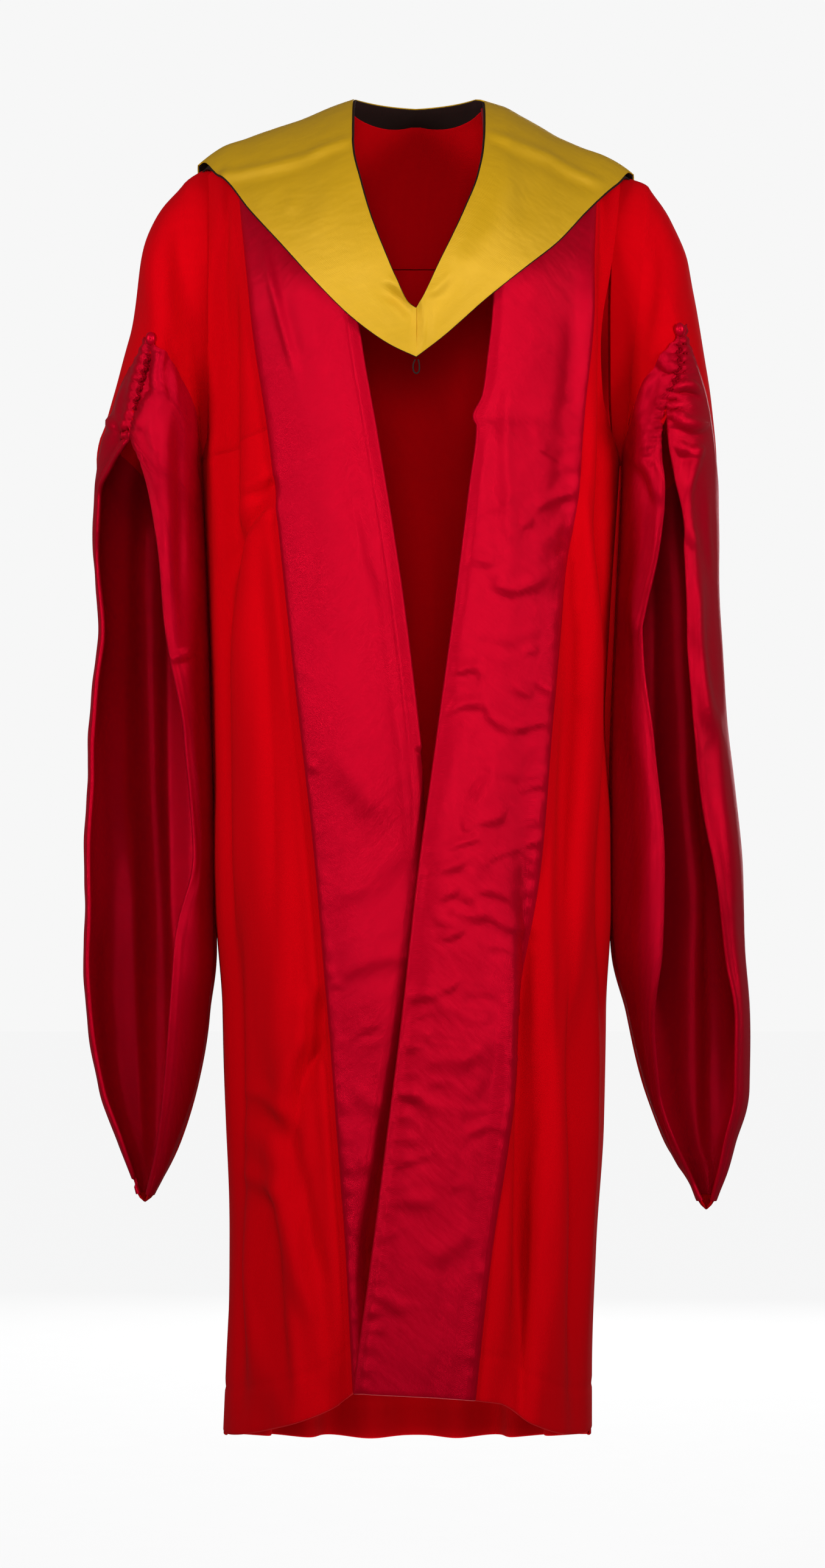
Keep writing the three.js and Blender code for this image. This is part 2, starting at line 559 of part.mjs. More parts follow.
// A ring of a sleeve by number (1 and up), with whole and part numbers read from the table.
function ringOf(rings, ring) {
  const table = rings.map((row, i) => ({ ...row, ring: i + 1 }));
  const columns = Object.keys(rings[0]);
  return Object.fromEntries(columns.map((key) => [key, read(table, "ring", Math.max(ring, 1), key)]));
}

// How far out and how high a ring lies at an angle. Angle 0 is the outer side, a quarter is the
// front, half is the side next to the body.
function ringPlace(shape, angle) {
  const cosine = Math.cos(angle);
  const out = (shape.outer + shape.inner) / 2 + ((shape.outer - shape.inner) / 2) * cosine;
  const level = (shape.outerZ + shape.innerZ) / 2 + ((shape.outerZ - shape.innerZ) / 2) * cosine;
  const raised = Math.sin(angle) > 0 ? shape.bow * (1 - cosine ** 2) ** 0.4 * (1 - shape.lean * cosine) : 0;
  return { out, height: level + raised };
}

// A point of a sleeve: ring number 0 is the armhole, and it grows out of it into ring 1.
function sleevePoint(side, rings, ring, angle) {
  const name = sideName(side);
  const sine = Math.sin(angle);
  const holeTop = shoulderZ(SHOULDER_X);
  const holeZ = (holeTop + UNDERARM_Z) / 2 + ((holeTop - UNDERARM_Z) / 2) * Math.cos(angle);
  const holeX = read(ARMHOLE, "z", holeZ, name);
  const holeY = faceY(side * holeX, holeZ, sine >= 0);
  const shape = ringOf(rings, ring);
  const { out, height } = ringPlace(shape, angle);
  const y = MIDDLE_Y - (sine > 0 ? shape.front : shape.back) * sine;
  const grown = clamp(ring, 0, 1);
  const x = side * lerp(holeX + ARMHOLE_GAP, out, grown);
  return new THREE.Vector3(x, lerp(holeY, y, grown), lerp(holeZ, height, grown));
}

// The angle at which a ring crosses an edge of the slit, given as a distance out at each height.
function slitAngle(rings, slit, ring, edge) {
  const shape = ringOf(rings, Math.max(ring, GATHER_RING));
  let low = 0.1;
  let high = Math.PI - low;
  while (high - low > 1e-8) {
    const angle = (low + high) / 2;
    const { out, height } = ringPlace(shape, angle);
    if (out > read(slit, "z", height, edge)) low = angle;
    else high = angle;
  }
  return low;
}

// A whole sleeve from armhole to tip. Rings above the slit are closed, those below are open at the front.
// The first and last columns lie under the turned-back edges.
function sleeveCloth(side, rings, slit) {
  const rows = [];
  for (let ring = 0; ring <= rings.length; ring += 1) {
    const stops = [
      slitAngle(rings, slit, ring, "outerEdge"),
      slitAngle(rings, slit, ring, "outerTrim"),
      slitAngle(rings, slit, ring, "innerTrim") - 2 * Math.PI,
      slitAngle(rings, slit, ring, "innerEdge") - 2 * Math.PI,
    ];
    const counts = [TRIM_COLUMNS, SLEEVE_COLUMNS, TRIM_COLUMNS];
    const line = [sleevePoint(side, rings, ring, stops[0])];
    counts.forEach((count, part) => {
      for (let i = 1; i <= count; i += 1) {
        line.push(sleevePoint(side, rings, ring, lerp(stops[part], stops[part + 1], i / count)));
      }
    });
    rows.push(side > 0 ? line : line.reverse());
  }
  return makeCloth(rows, (row) => row <= SLIT_RING);
}

// The front of the hood on one side, laid over the gown's face from neck edge to lower edge.
function hoodFrontCloth(side, table) {
  const rows = [];
  for (let row = 0; row <= HOOD_ROWS; row += 1) {
    const along = row / HOOD_ROWS;
    const line = [];
    for (let column = 0; column <= HOOD_COLUMNS; column += 1) {
      const across = column / HOOD_COLUMNS;
      const x = lerp(read(table, "along", along, "neckX"), read(table, "along", along, "lowX"), across);
      const flat = lerp(read(table, "along", along, "neckZ"), read(table, "along", along, "lowZ"), across);
      const ridge = shoulderZ(x) + HOOD_LIFT;
      const z = Math.min(lerp(ridge, flat, smoothstep(along, 0, 0.2)), ridge) - SEAM_GAP;
      const y = row === 0 ? MIDDLE_Y - SEAM_GAP : faceY(x, z, true, HOOD_LIFT) - SEAM_GAP;
      line.push(new THREE.Vector3(row === HOOD_ROWS ? x + side * SEAM_GAP : x, y, z));
    }
    rows.push(side > 0 ? line : line.reverse());
  }
  return makeCloth(rows);
}

// The back of the hood: a plain rounded drape from neck and shoulder ridge to its lower edge.
function hoodBackCloth() {
  const rows = [];
  const stops = [];
  for (let i = 0; i < HOOD_SHOULDER_COLUMNS; i += 1) {
    const turn = (Math.PI / 2) * (i / HOOD_SHOULDER_COLUMNS);
    stops.push(lerp(HOOD_NECK_X, HOOD_TIP_X, Math.cos(turn)));
  }
  for (let i = 0; i <= HOOD_NECK_COLUMNS; i += 1) {
    stops.push(HOOD_NECK_X * Math.cos((Math.PI * i) / HOOD_NECK_COLUMNS));
  }
  for (let i = HOOD_SHOULDER_COLUMNS - 1; i >= 0; i -= 1) stops.push(-stops[i]);
  for (let row = 0; row <= HOOD_BACK_ROWS; row += 1) {
    const line = [];
    for (const x of stops) {
      const scoop = Math.abs(x) < HOOD_NECK_X ? Math.sqrt(1 - (x / HOOD_NECK_X) ** 2) : 0;
      const lift = HOOD_LIFT + HOOD_NECK_LIFT * Math.sqrt(scoop);
      const depth = sectionDepth(x, NECK_Z, "back", lift);
      const start = Math.min((HOOD_NECK_SCOOP * scoop + SEAM_GAP) / depth, 1);
      const drop = 1 - (1 - start ** BACK_BEND) ** (1 / BACK_BEND);
      const top = shoulderZ(x) + lift - BACK_REACH_DOWN * drop;
      const round = Math.sqrt(Math.max(0, 1 - (x / HOOD_TIP_X) ** 2));
      const low = lerp(top - HOOD_TIP_WIDTH, HOOD_BACK_Z, round ** HOOD_BACK_CURVE);
      const down = row / HOOD_BACK_ROWS;
      const z = lerp(top, low, down);
      const bulge = COWL_BULGE * round ** 3 * Math.sin(Math.PI * 0.8 * down) ** 2;
      const y = faceY(x, z, false, lift + HOOD_BACK_FLARE * down * round) + bulge;
      line.push(new THREE.Vector3(x, Math.max(y, MIDDLE_Y + SEAM_GAP), z));
    }
    rows.push(line);
  }
  return makeCloth(rows);
}

// A round cord along points, closed at both ends.
function cordGeometry(points, radius, sides, steps) {
  const ring = new THREE.Shape();
  for (let i = 0; i < sides; i += 1) {
    const turn = (2 * Math.PI * i) / sides;
    const [x, y] = [radius * Math.cos(turn), radius * Math.sin(turn)];
    if (i === 0) ring.moveTo(x, y);
    else ring.lineTo(x, y);
  }
  const extrudePath = new THREE.CatmullRomCurve3(points);
  return new THREE.ExtrudeGeometry(ring, { steps, extrudePath });
}

// A place on the gathering line of a sleeve, clear of the turned-back edges by a given distance.
function gatherPoint(side, rings, slit, ring, clear) {
  const angle = slitAngle(rings, slit, ring, "innerEdge");
  const point = sleevePoint(side, rings, ring, angle);
  return point.add(new THREE.Vector3(0, -WOOL / 2 - SEAM_GAP - SILK - clear, 0));
}

// The gathering cord on the front of a sleeve, from under the button to the top of the slit.
function gatherCord(side, rings, slit) {
  const points = [];
  for (let i = 0; i <= 6; i += 1) {
    const ring = lerp(GATHER_RING + 0.35, SLIT_RING - 0.1, i / 6);
    points.push(gatherPoint(side, rings, slit, ring, CORD_RADIUS + WOOL));
  }
  return cordGeometry(points, CORD_RADIUS, 8, 14);
}

// A covered button: a low dome turned on a lathe, facing forwards.
function buttonGeometry(side, rings, slit) {
  const at = gatherPoint(side, rings, slit, GATHER_RING, BUTTON_BASE + 2 * SEAM_GAP);
  const profile = [new THREE.Vector2(0, -BUTTON_BASE), new THREE.Vector2(BUTTON_RADIUS * 0.8, -BUTTON_BASE)];
  for (let i = 0; i < 4; i += 1) {
    const turn = (Math.PI / 2) * (i / 4);
    profile.push(new THREE.Vector2(BUTTON_RADIUS * Math.cos(turn), BUTTON_HEIGHT * Math.sin(turn)));
  }
  profile.push(new THREE.Vector2(0, BUTTON_HEIGHT));
  const geometry = new THREE.LatheGeometry(profile, 14);
  geometry.rotateX(Math.PI);
  return geometry.translate(at.x, at.y, at.z + BUTTON_BASE);
}

// The small cord loop that hangs from the point of the hood.
function loopGeometry() {
  const y = faceY(0, LOOP_TOP_Z, true, HOOD_LIFT);
  const points = LOOP.map(({ x, down }) => new THREE.Vector3(x, y, LOOP_TOP_Z - down));
  return cordGeometry(points, LOOP_RADIUS, 8, 20);
}

const scarlet = { color: 0xd00012, roughness: 0.85, metalness: 0 };
const crimson = { color: 0xc30026, roughness: 0.5, metalness: 0 };
const gold = { color: 0xd0a41e, roughness: 0.4, metalness: 0 };
const dark = { color: 0x28140f, roughness: 0.7, metalness: 0 };

const gown = new THREE.Group();

function addPiece(name, geometry, look) {
  const mesh = new THREE.Mesh(geometry, new THREE.MeshStandardMaterial(look));
  mesh.name = name;
  gown.add(mesh);
}

const onTop = WOOL / 2 + SEAM_GAP + SILK / 2;

addPiece("back_yoke", wall(backCloth(null, YOKE_Z, YOKE_ROWS, YOKE_COLUMNS), WOOL), scarlet);
const backTop = YOKE_Z - 2 * SEAM_GAP;
addPiece("back", wall(backCloth(backTop, null, BACK_ROWS, BACK_COLUMNS), WOOL), scarlet);

for (const side of [-1, 1]) {
  const name = sideName(side);
  const left = side < 0;
  const facing = left ? LEFT_FACING : RIGHT_FACING;
  const front = frontCloth(side, facing, left ? LEFT_FRONT_FOLDS : RIGHT_FRONT_FOLDS);
  addPiece("front_" + name, wall(front, WOOL), scarlet);
  const strip = left
    ? { fromColumn: SIDE_COLUMNS, toColumn: SIDE_COLUMNS + FACING_COLUMNS }
    : { fromColumn: 0, toColumn: FACING_COLUMNS };
  addPiece("facing_" + name, wall(front, SILK, { offset: onTop, ...strip }), crimson);

  const rings = left ? LEFT_SLEEVE : RIGHT_SLEEVE;
  const slit = left ? LEFT_SLIT : RIGHT_SLIT;
  const sleeve = sleeveCloth(side, rings, slit);
  addPiece("sleeve_" + name, wall(sleeve, WOOL), scarlet);
  const lined = { offset: -onTop, fromRow: SLIT_RING + 1, toRow: sleeve.rows.length - 2 };
  addPiece("sleeve_lining_" + name, wall(sleeve, SILK, lined), crimson);
  const last = sleeve.rows[0].length - 1;
  const trimmed = { offset: onTop, inset: TRIM_INSET, fromRow: GATHER_RING };
  const firstStrip = { ...trimmed, fromColumn: 0, toColumn: TRIM_COLUMNS };
  const lastStrip = { ...trimmed, fromColumn: last - TRIM_COLUMNS, toColumn: last };
  const [outerStrip, innerStrip] = left ? [lastStrip, firstStrip] : [firstStrip, lastStrip];
  addPiece("sleeve_turnback_inner_" + name, wall(sleeve, SILK, innerStrip), crimson);
  addPiece("sleeve_turnback_outer_" + name, wall(sleeve, SILK, outerStrip), crimson);
  addPiece("gather_cord_" + name, gatherCord(side, rings, slit), crimson);
  addPiece("button_" + name, buttonGeometry(side, rings, slit), crimson);

  const hood = hoodFrontCloth(side, left ? LEFT_HOOD : RIGHT_HOOD);
  addPiece("hood_shell_" + name, wall(hood, SILK), dark);
  addPiece("hood_lining_" + name, wall(hood, SILK, { offset: HOOD_LAYER }), gold);
}

const hoodBack = hoodBackCloth();
addPiece("hood_shell_back", wall(hoodBack, SILK), dark);
addPiece("hood_lining_back", wall(hoodBack, SILK, { offset: HOOD_LAYER }), gold);
addPiece("hood_loop", loopGeometry(), dark);

export default gown;
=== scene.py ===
import math

import bpy
import numpy as np
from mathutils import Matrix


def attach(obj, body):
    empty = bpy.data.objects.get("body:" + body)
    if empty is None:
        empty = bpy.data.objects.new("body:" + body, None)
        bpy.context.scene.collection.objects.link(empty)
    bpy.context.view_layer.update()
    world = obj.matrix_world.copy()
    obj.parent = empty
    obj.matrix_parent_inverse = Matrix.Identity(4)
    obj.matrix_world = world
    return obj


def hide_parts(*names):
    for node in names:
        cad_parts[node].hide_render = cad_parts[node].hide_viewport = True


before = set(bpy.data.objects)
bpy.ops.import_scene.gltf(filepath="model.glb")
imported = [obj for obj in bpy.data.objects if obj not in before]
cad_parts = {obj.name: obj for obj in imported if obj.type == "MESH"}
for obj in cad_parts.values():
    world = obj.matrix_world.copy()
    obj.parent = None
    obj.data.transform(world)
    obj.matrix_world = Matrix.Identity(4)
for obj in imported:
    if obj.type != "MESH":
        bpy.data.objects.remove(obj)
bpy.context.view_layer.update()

# A doctor's graduation gown with its hood, as it hangs on a wearer's shoulders.
# Shapes are worked out in millimetres and go into the meshes in metres. -Y is the front and +Z is up.
# "left" and "right" are the viewer's.

MM = 0.001

# Camera: level, far in front, with the long side of the picture covering 1.43 m of the gown's plane
CAMERA_PLACE = (-0.003, -4.5, -0.5927)
CAMERA_LENS = 113.3
SENSOR_HEIGHT = 36
FLOOR_Z = -1.42
FLOOR_REACH = 12

# Cloth
WOOL = 1.6
SILK = 1.1
SEAM_GAP = 0.35
ON_TOP = WOOL / 2 + SEAM_GAP + SILK / 2

# Body of the gown. A pair in brackets, here and below, is where a change begins and where it is complete.
MIDDLE_Y = 12
ROUNDNESS = 2.4
NECK_X = 60
NECK_Z = 24
SHOULDER_SLOPE = 0.3
SHOULDER_X = 190
SHOULDER_DROP = 13
FRONT_REACH_DOWN = 170
FRONT_BEND = 1.5
BACK_REACH_DOWN = 120
BACK_BEND = 1.7
NECK_SCOOP = 52
UNDERARM_Z = -300
YOKE_Z = -112
BACK_HEM_Z = -1206
SIDE_HEM_Z = -1186
FACING_WIDTH = 105
FACING_TURN_RADIUS = 11
FACING_TURN = math.radians(84)
OVERLAP_LIFT = 5
OVERLAP_GROWS = (540, 680)
OVERLAP_NEAR_X = 150
SMALLEST_DOWN = 0.003
FIRST_GUESS_Z = -60.0
SOLVING_PASSES = 8
HALVINGS = 28
SMALLEST_ANGLE = 0.1

# Flutes of the back
FLUTES = 8
FLUTE_DEPTH = 13
FLUTE_INWARDS = 0.2
FLUTES_OPEN_BY = 260
FLUTES_AT_TOP = 0.75
FLUTE_FADE = (0.03, 0.2)

# Sleeves
ARMHOLE_TUCK = 4
SIDE_BULGE = 5
BULGE_BEGINS = (268, 300)
BULGE_ENDS = (700, 800)
BULGE_WIDTH = 12
PRESS_BEGINS = (280, 305)
SIDE_TOUCH = 0.2
ARMHOLE_UNDER = 1.9
GATHER_RING = 4
SLIT_RING = 6
SLEEVE_RINGS = 17
SLEEVE_BACK_SHARE = 0.72
NARROW_BEHIND = (SLIT_RING, 9)
TIP_START = 16.4
TIP_LEFT_OPEN = 0.002
CORD_END = {"left": 5.55, "right": 5.4}

# Hood
HOOD_LIFT = 7
HOOD_LAYER = SILK + SEAM_GAP
HOOD_NECK_X = 56
HOOD_TIP_X = 198
HOOD_BACK_Z = -330
COWL_BULGE = 26
HOOD_BACK_FLARE = 16
HOOD_NECK_LIFT = 5
HOOD_NECK_SCOOP = 42
HOOD_BACK_CURVE = 1.4
HOOD_TIP_WIDTH = 7
HOOD_MIDDLE_X = 0.3
RIDGE_SHARE = 0.2
COWL_REACH = 0.8


def table(columns, *rows):
    """Rows of numbers under named columns: one array for each name."""
    return dict(zip(columns.split(), np.array(rows, float).T))


# Sections of the body: half widths on the viewer's left and right, depths from the middle
BODY = table(
    "z left right front back",
    (40, 206, 206, 132, 96),
    (-60, 206, 206, 132, 96),
    (-110, 199, 196, 134, 98),
    (-170, 195, 189, 136, 101),
    (-300, 190, 184, 138, 106),
    (-450, 184, 177, 142, 112),
    (-600, 180, 172, 147, 118),
    (-770, 177, 173, 152, 126),
    (-900, 173, 171, 156, 132),
    (-1010, 169, 164, 159, 137),
    (-1130, 173, 160, 162, 142),
    (-1250, 178, 160, 164, 146),
)

# Armhole: distance of its edge from the middle at each height
ARMHOLE = table(
    "z left right",
    (-28, 190, 190),
    (-60, 188, 186),
    (-110, 186, 182),
    (-170, 186, 180),
    (-240, 187, 180.5),
    (-285, 189.4, 183.4),
    (-300, 190, 184),
)

# Front edges: the facing's seam, its free edge, and how much of the facing shows before it turns in
FACING = {
    "left": table(
        "z seam edge shown",
        (30, -168, -61, 105),
        (-68, -159, -62, 105),
        (-148, -150, -56, 105),
        (-200, -144, -50, 105),
        (-286, -132, -35, 105),
        (-433, -115, -12, 105),
        (-558, -101, 3, 105),
        (-662, -91, 14, 96),
        (-767, -82, 23, 74),
        (-871, -73.5, 31, 48),
        (-945, -68, 37, 30),
        (-1010, -63, 42, 15),
        (-1180, -55, 50, 12),
    ),
    "right": table(
        "z seam edge shown",
        (30, 168, 61, 105),
        (-68, 163, 66, 105),
        (-165, 155, 70, 105),
        (-217, 151, 65, 105),
        (-248, 148.6, 60.6, 105),
        (-268, 147.3, 52, 105),
        (-275, 146.8, 55.4, 105),
        (-329, 143, 49, 105),
        (-440, 131, 35, 105),
        (-558, 118, 19, 105),
        (-683, 107.5, 2, 105),
        (-801, 93, -11, 105),
        (-906, 80, -24, 105),
        (-1003, 66, -36, 105),
        (-1134, 52, -53, 105),
        (-1180, 48, -57, 105),
    ),
}

# Hem height at each place across the front
FRONT_HEM = table(
    "x z",
    (-180, -1182),
    (-140, -1168),
    (-105, -1157),
    (-75, -1143),
    (-55, -1129),
    (-20, -1130),
    (30, -1133),
    (75, -1139),
    (100, -1158),
    (135, -1172),
    (180, -1180),
)

# Large soft folds of the two fronts, each along a line from top to bottom. Depth is + for a ridge.
FRONT_FOLDS = {
    "left": table(
        "top topX bottom bottomX width depth",
        (-70, -172, -560, -168, 13, -6),
        (-330, -142, -1150, -104, 16, 6),
        (-420, -126, -900, -92, 9, -4),
        (-620, -160, -1180, -140, 17, -7),
        (-800, -140, -1120, -78, 14, -5),
    ),
    "right": table(
        "top topX bottom bottomX width depth",
        (-60, 176, -520, 172, 12, -7),
        (-200, 164, -760, 136, 10, 5),
        (-540, 150, -1180, 96, 15, 6),
        (-700, 134, -1170, 72, 10, -5),
    ),
}
FOLD_FADE_IN = 0.3
FOLD_END = 1.25

# Rings of a sleeve from armhole to tip: the outer side and the inner side next to the body, the depth
# of front and back, and how far the front bows up between the two sides (lean: more of it inwards)
RINGS = {
    "left": table(
        "ring outer outerZ inner innerZ front back bow lean",
        (1, 213, -47, 193.5, -303, 60, 62, 0, 0.5),
        (2, 235, -75, 194, -310, 72, 74, 18, 0.5),
        (3, 252, -125, 193.5, -320, 80, 82, 38, 0.5),
        (4, 263, -195, 193, -330, 84, 88, 58, 0.5),
        (5, 271, -228, 192, -342, 86, 92, 38, 0.5),
        (6, 280, -258, 191, -356, 85, 95, 14, 0.5),
        (7, 290, -303, 190, -375, 82, 97, 8, 0.5),
        (8, 292, -352, 189, -403, 79, 98, 3, 0),
        (9, 286, -450, 188, -465, 74, 100, 0, 0),
        (10, 296, -550, 187, -555, 70, 102, 0, 0),
        (11, 302, -650, 186, -650, 66, 102, 0, 0),
        (12, 301, -740, 185, -740, 62, 98, 0, 0),
        (13, 297, -806, 189, -806, 56, 88, 0, 0),
        (14, 288, -870, 200, -870, 44, 70, 0, 0),
        (15, 270, -920, 216, -920, 30, 48, 0, 0),
        (16, 256, -958, 235, -958, 16, 24, 0, 0),
        (17, 252, -974, 243, -974, 8, 11, 0, 0),
    ),
    "right": table(
        "ring outer outerZ inner innerZ front back bow lean",
        (1, 212, -47, 187.5, -303, 60, 62, 0, 1),
        (2, 231, -75, 188, -310, 72, 74, 8, 1.2),
        (3, 244, -118, 188, -320, 80, 82, 20, 1.4),
        (4, 255, -158, 187.5, -330, 84, 88, 36, 1),
        (5, 263, -205, 187, -341, 85, 92, 42, 0.8),
        (6, 270, -252, 186, -354, 84, 95, 42, 0.5),
        (7, 275, -302, 185, -376, 82, 97, 26, 0.7),
        (8, 274, -356, 184, -404, 79, 98, 12, 0.4),
        (9, 277, -450, 183, -465, 74, 100, 0, 0),
        (10, 284, -550, 182, -555, 70, 102, 0, 0),
        (11, 292, -650, 181, -650, 66, 102, 0, 0),
        (12, 300, -740, 183, -740, 62, 98, 0, 0),
        (13, 303, -806, 194, -806, 56, 88, 0, 0),
        (14, 301, -870, 207, -870, 46, 70, 0, 0),
        (15, 289, -920, 228, -920, 32, 50, 0, 0),
        (16, 277, -960, 253, -960, 18, 26, 0, 0),
        (17, 270, -981, 261, -981, 8, 11, 0, 0),
    ),
}

# Slit of a sleeve at each height: its two edges, and how far each crimson turn-back reaches.
# Down to its top end the two edges are one: the line of the gathering cord.
SLIT = {
    "left": table(
        "z outerEdge innerEdge outerTrim innerTrim",
        (-190, 237, 237, 243, 200),
        (-208, 240, 240, 251, 200),
        (-236, 247, 247, 266, 200),
        (-276, 256, 256, 279, 199),
        (-306, 279, 245.5, 288.5, 197),
        (-332, 288, 238, 291, 194),
        (-370, 289, 232, 292, 192),
        (-450, 284, 224, 287, 190),
        (-550, 294, 208, 297, 188.5),
        (-650, 300, 203, 303, 187.5),
        (-740, 299, 216, 303, 187.5),
        (-806, 295, 221, 299, 191),
        (-870, 286, 227, 290, 202),
        (-920, 268, 234, 272, 219),
        (-974, 251, 246, 253, 243.5),
    ),
    "right": table(
        "z outerEdge innerEdge outerTrim innerTrim",
        (-190, 237, 237, 243, 191),
        (-213, 236, 236, 251, 191),
        (-228, 234, 234, 256, 191),
        (-247, 226, 226, 262, 190.5),
        (-286, 228.5, 217.5, 270, 189),
        (-328, 236.5, 222, 274, 188),
        (-367, 241.5, 219, 274, 187),
        (-460, 245, 204, 277, 185),
        (-554, 254, 214, 284, 184),
        (-669, 272, 223, 293, 183),
        (-740, 283, 222, 300, 185.5),
        (-808, 290, 215, 303, 196.5),
        (-870, 290, 219, 301, 209.5),
        (-920, 281, 236, 290, 230.5),
        (-981, 268.5, 264, 270, 262),
    ),
}

# How far the cloth sags below a straight shoulder line: more on the viewer's right
SHOULDER_SAG = table(
    "x down",
    (-215, 0),
    (-178, 1),
    (-152, 5),
    (-110, 5),
    (-72, 1),
    (-40, 0),
    (78, 0),
    (96, 4.5),
    (112, 8.5),
    (132, 13),
    (150, 14),
    (172, 11.5),
    (200, 9),
    (225, 8),
)

# Front of the hood from the shoulder ridge to the centre: its neck edge and its lower edge
HOOD = {
    "left": table(
        "along neckX neckZ lowX lowZ",
        (0, -56, 34, -198, -28),
        (0.12, -57.5, 10, -188, -34),
        (0.24, -57, -18, -172, -45),
        (0.38, -49, -56, -148, -77),
        (0.52, -40, -88, -120, -110),
        (0.66, -28, -120, -88, -147),
        (0.8, -17, -146, -56, -179),
        (0.92, -7, -166, -23, -203),
        (1, 0, -171, 0, -214),
    ),
    "right": table(
        "along neckX neckZ lowX lowZ",
        (0, 62, 34, 198, -34),
        (0.12, 63, 10, 191, -40),
        (0.24, 61.5, -18, 176, -53),
        (0.38, 56, -48, 153, -77),
        (0.52, 44, -80, 126, -108),
        (0.66, 33, -105, 97, -133),
        (0.8, 19, -134, 62, -162),
        (0.92, 7, -160, 24, -196),
        (1, 0.6, -171, 0.6, -214),
    ),
}


def lerp(start, end, share):
    return start + (end - start) * share


def smoothstep(value, low, high):
    """A smooth rise from 0 at low to 1 at high: three times the share squared less twice its cube."""
    share = np.clip((value - low) / (high - low), 0, 1)
    return share * share * (3 - 2 * share)


def read(rows, key, place, column):
    """A table's column at any places, by a cubic through its rows that never overshoots them.

    The slope at a row is the harmonic mean of those on both sides, or 0 where they differ in sign.
    """
    order = np.argsort(rows[key])
    knots, values = rows[key][order], rows[column][order]
    step = np.diff(knots)
    slope = np.diff(values) / step
    before, after = slope[:-1], slope[1:]
    total = np.where(before * after > 0, before + after, 1)
    inner = np.where(before * after > 0, 2 * before * after / total, 0)
    tangent = np.concatenate([slope[:1], inner, slope[-1:]])
    i = np.clip(np.searchsorted(knots, place) - 1, 0, len(step) - 1)
    t = np.clip((place - knots[i]) / step[i], 0, 1)
    ends = (1 + 2 * t) * (1 - t) ** 2 * values[i] + t * t * (3 - 2 * t) * values[i + 1]
    return ends + step[i] * t * (1 - t) * ((1 - t) * tangent[i] - t * tangent[i + 1])


def stack(x, y, z):
    return np.stack(np.broadcast_arrays(x, y, z), axis=-1).astype(float)


def side_name(side):
    return "left" if side < 0 else "right"


def read_sides(rows, z, x):
    """A table with a left and a right column, read at z for whichever side each x is on."""
    return np.where(x < 0, read(rows, "z", z, "left"), read(rows, "z", z, "right"))


def shoulder_z(x):
    """Height of the shoulder ridge: a straight slope, a drop near the armhole, and the cloth's own sag."""
    out = np.abs(x) - NECK_X
    share = np.maximum(out, 0) / (SHOULDER_X - NECK_X)
    sag = read(SHOULDER_SAG, "x", x, "down")
    return NECK_Z - SHOULDER_SLOPE * out - SHOULDER_DROP * share ** 5 - sag


def section_depth(x, z, depth_name, lift=0):
    """Depth of a body section at x: a superellipse of the table's half width and depth."""
    half = read_sides(BODY, z, x) + lift
    share = np.clip(np.abs(x) / half, 0, 1)
    return (read(BODY, "z", z, depth_name) + lift) * (1 - share ** ROUNDNESS) ** (1 / ROUNDNESS)


def face_y(x, z, front, lift=0):
    """The front or back face of the gown at x and z, moved outwards by lift.

    Over the shoulder it bends from the ridge down to the full depth of the section.
    """
    down, bend = (FRONT_REACH_DOWN, FRONT_BEND) if front else (BACK_REACH_DOWN, BACK_BEND)
    drop = np.clip((shoulder_z(x) + lift - z) / down, 0, 1)
    reach = (1 - (1 - drop) ** bend) ** (1 / bend)
    depth = section_depth(x, z, "front" if front else "back", lift) * reach
    return MIDDLE_Y - depth if front else MIDDLE_Y + depth


def moved_out(x, y, z, lift):
    """Points of the body's sections moved straight out from them by lift."""
    half = read_sides(BODY, z, x)
    depth = np.where(y < MIDDLE_Y, read(BODY, "z", z, "front"), read(BODY, "z", z, "back"))
    out_x = np.abs(x / half) ** (ROUNDNESS - 1) / half
    out_y = np.abs((y - MIDDLE_Y) / depth) ** (ROUNDNESS - 1) / depth
    length = np.hypot(out_x, out_y)
    return stack(
        x + np.sign(x) * lift * out_x / length,
        y + np.sign(y - MIDDLE_Y) * lift * out_y / length,
        z,
    )


def fold_lift(folds, x, z):
    """Soft ridges and troughs: each is a smooth hump across its line, fading in and out along it."""
    lift = np.zeros(np.broadcast(x, z).shape)
    for top, top_x, bottom, bottom_x, width, depth in zip(*folds.values()):
        along = (top - z) / (top - bottom)
        across = (x - lerp(top_x, bottom_x, along)) / width
        fade = smoothstep(along, 0, FOLD_FADE_IN) * (1 - smoothstep(along, 1, FOLD_END))
        lift += depth * fade * np.exp(-across * across)
    return lift


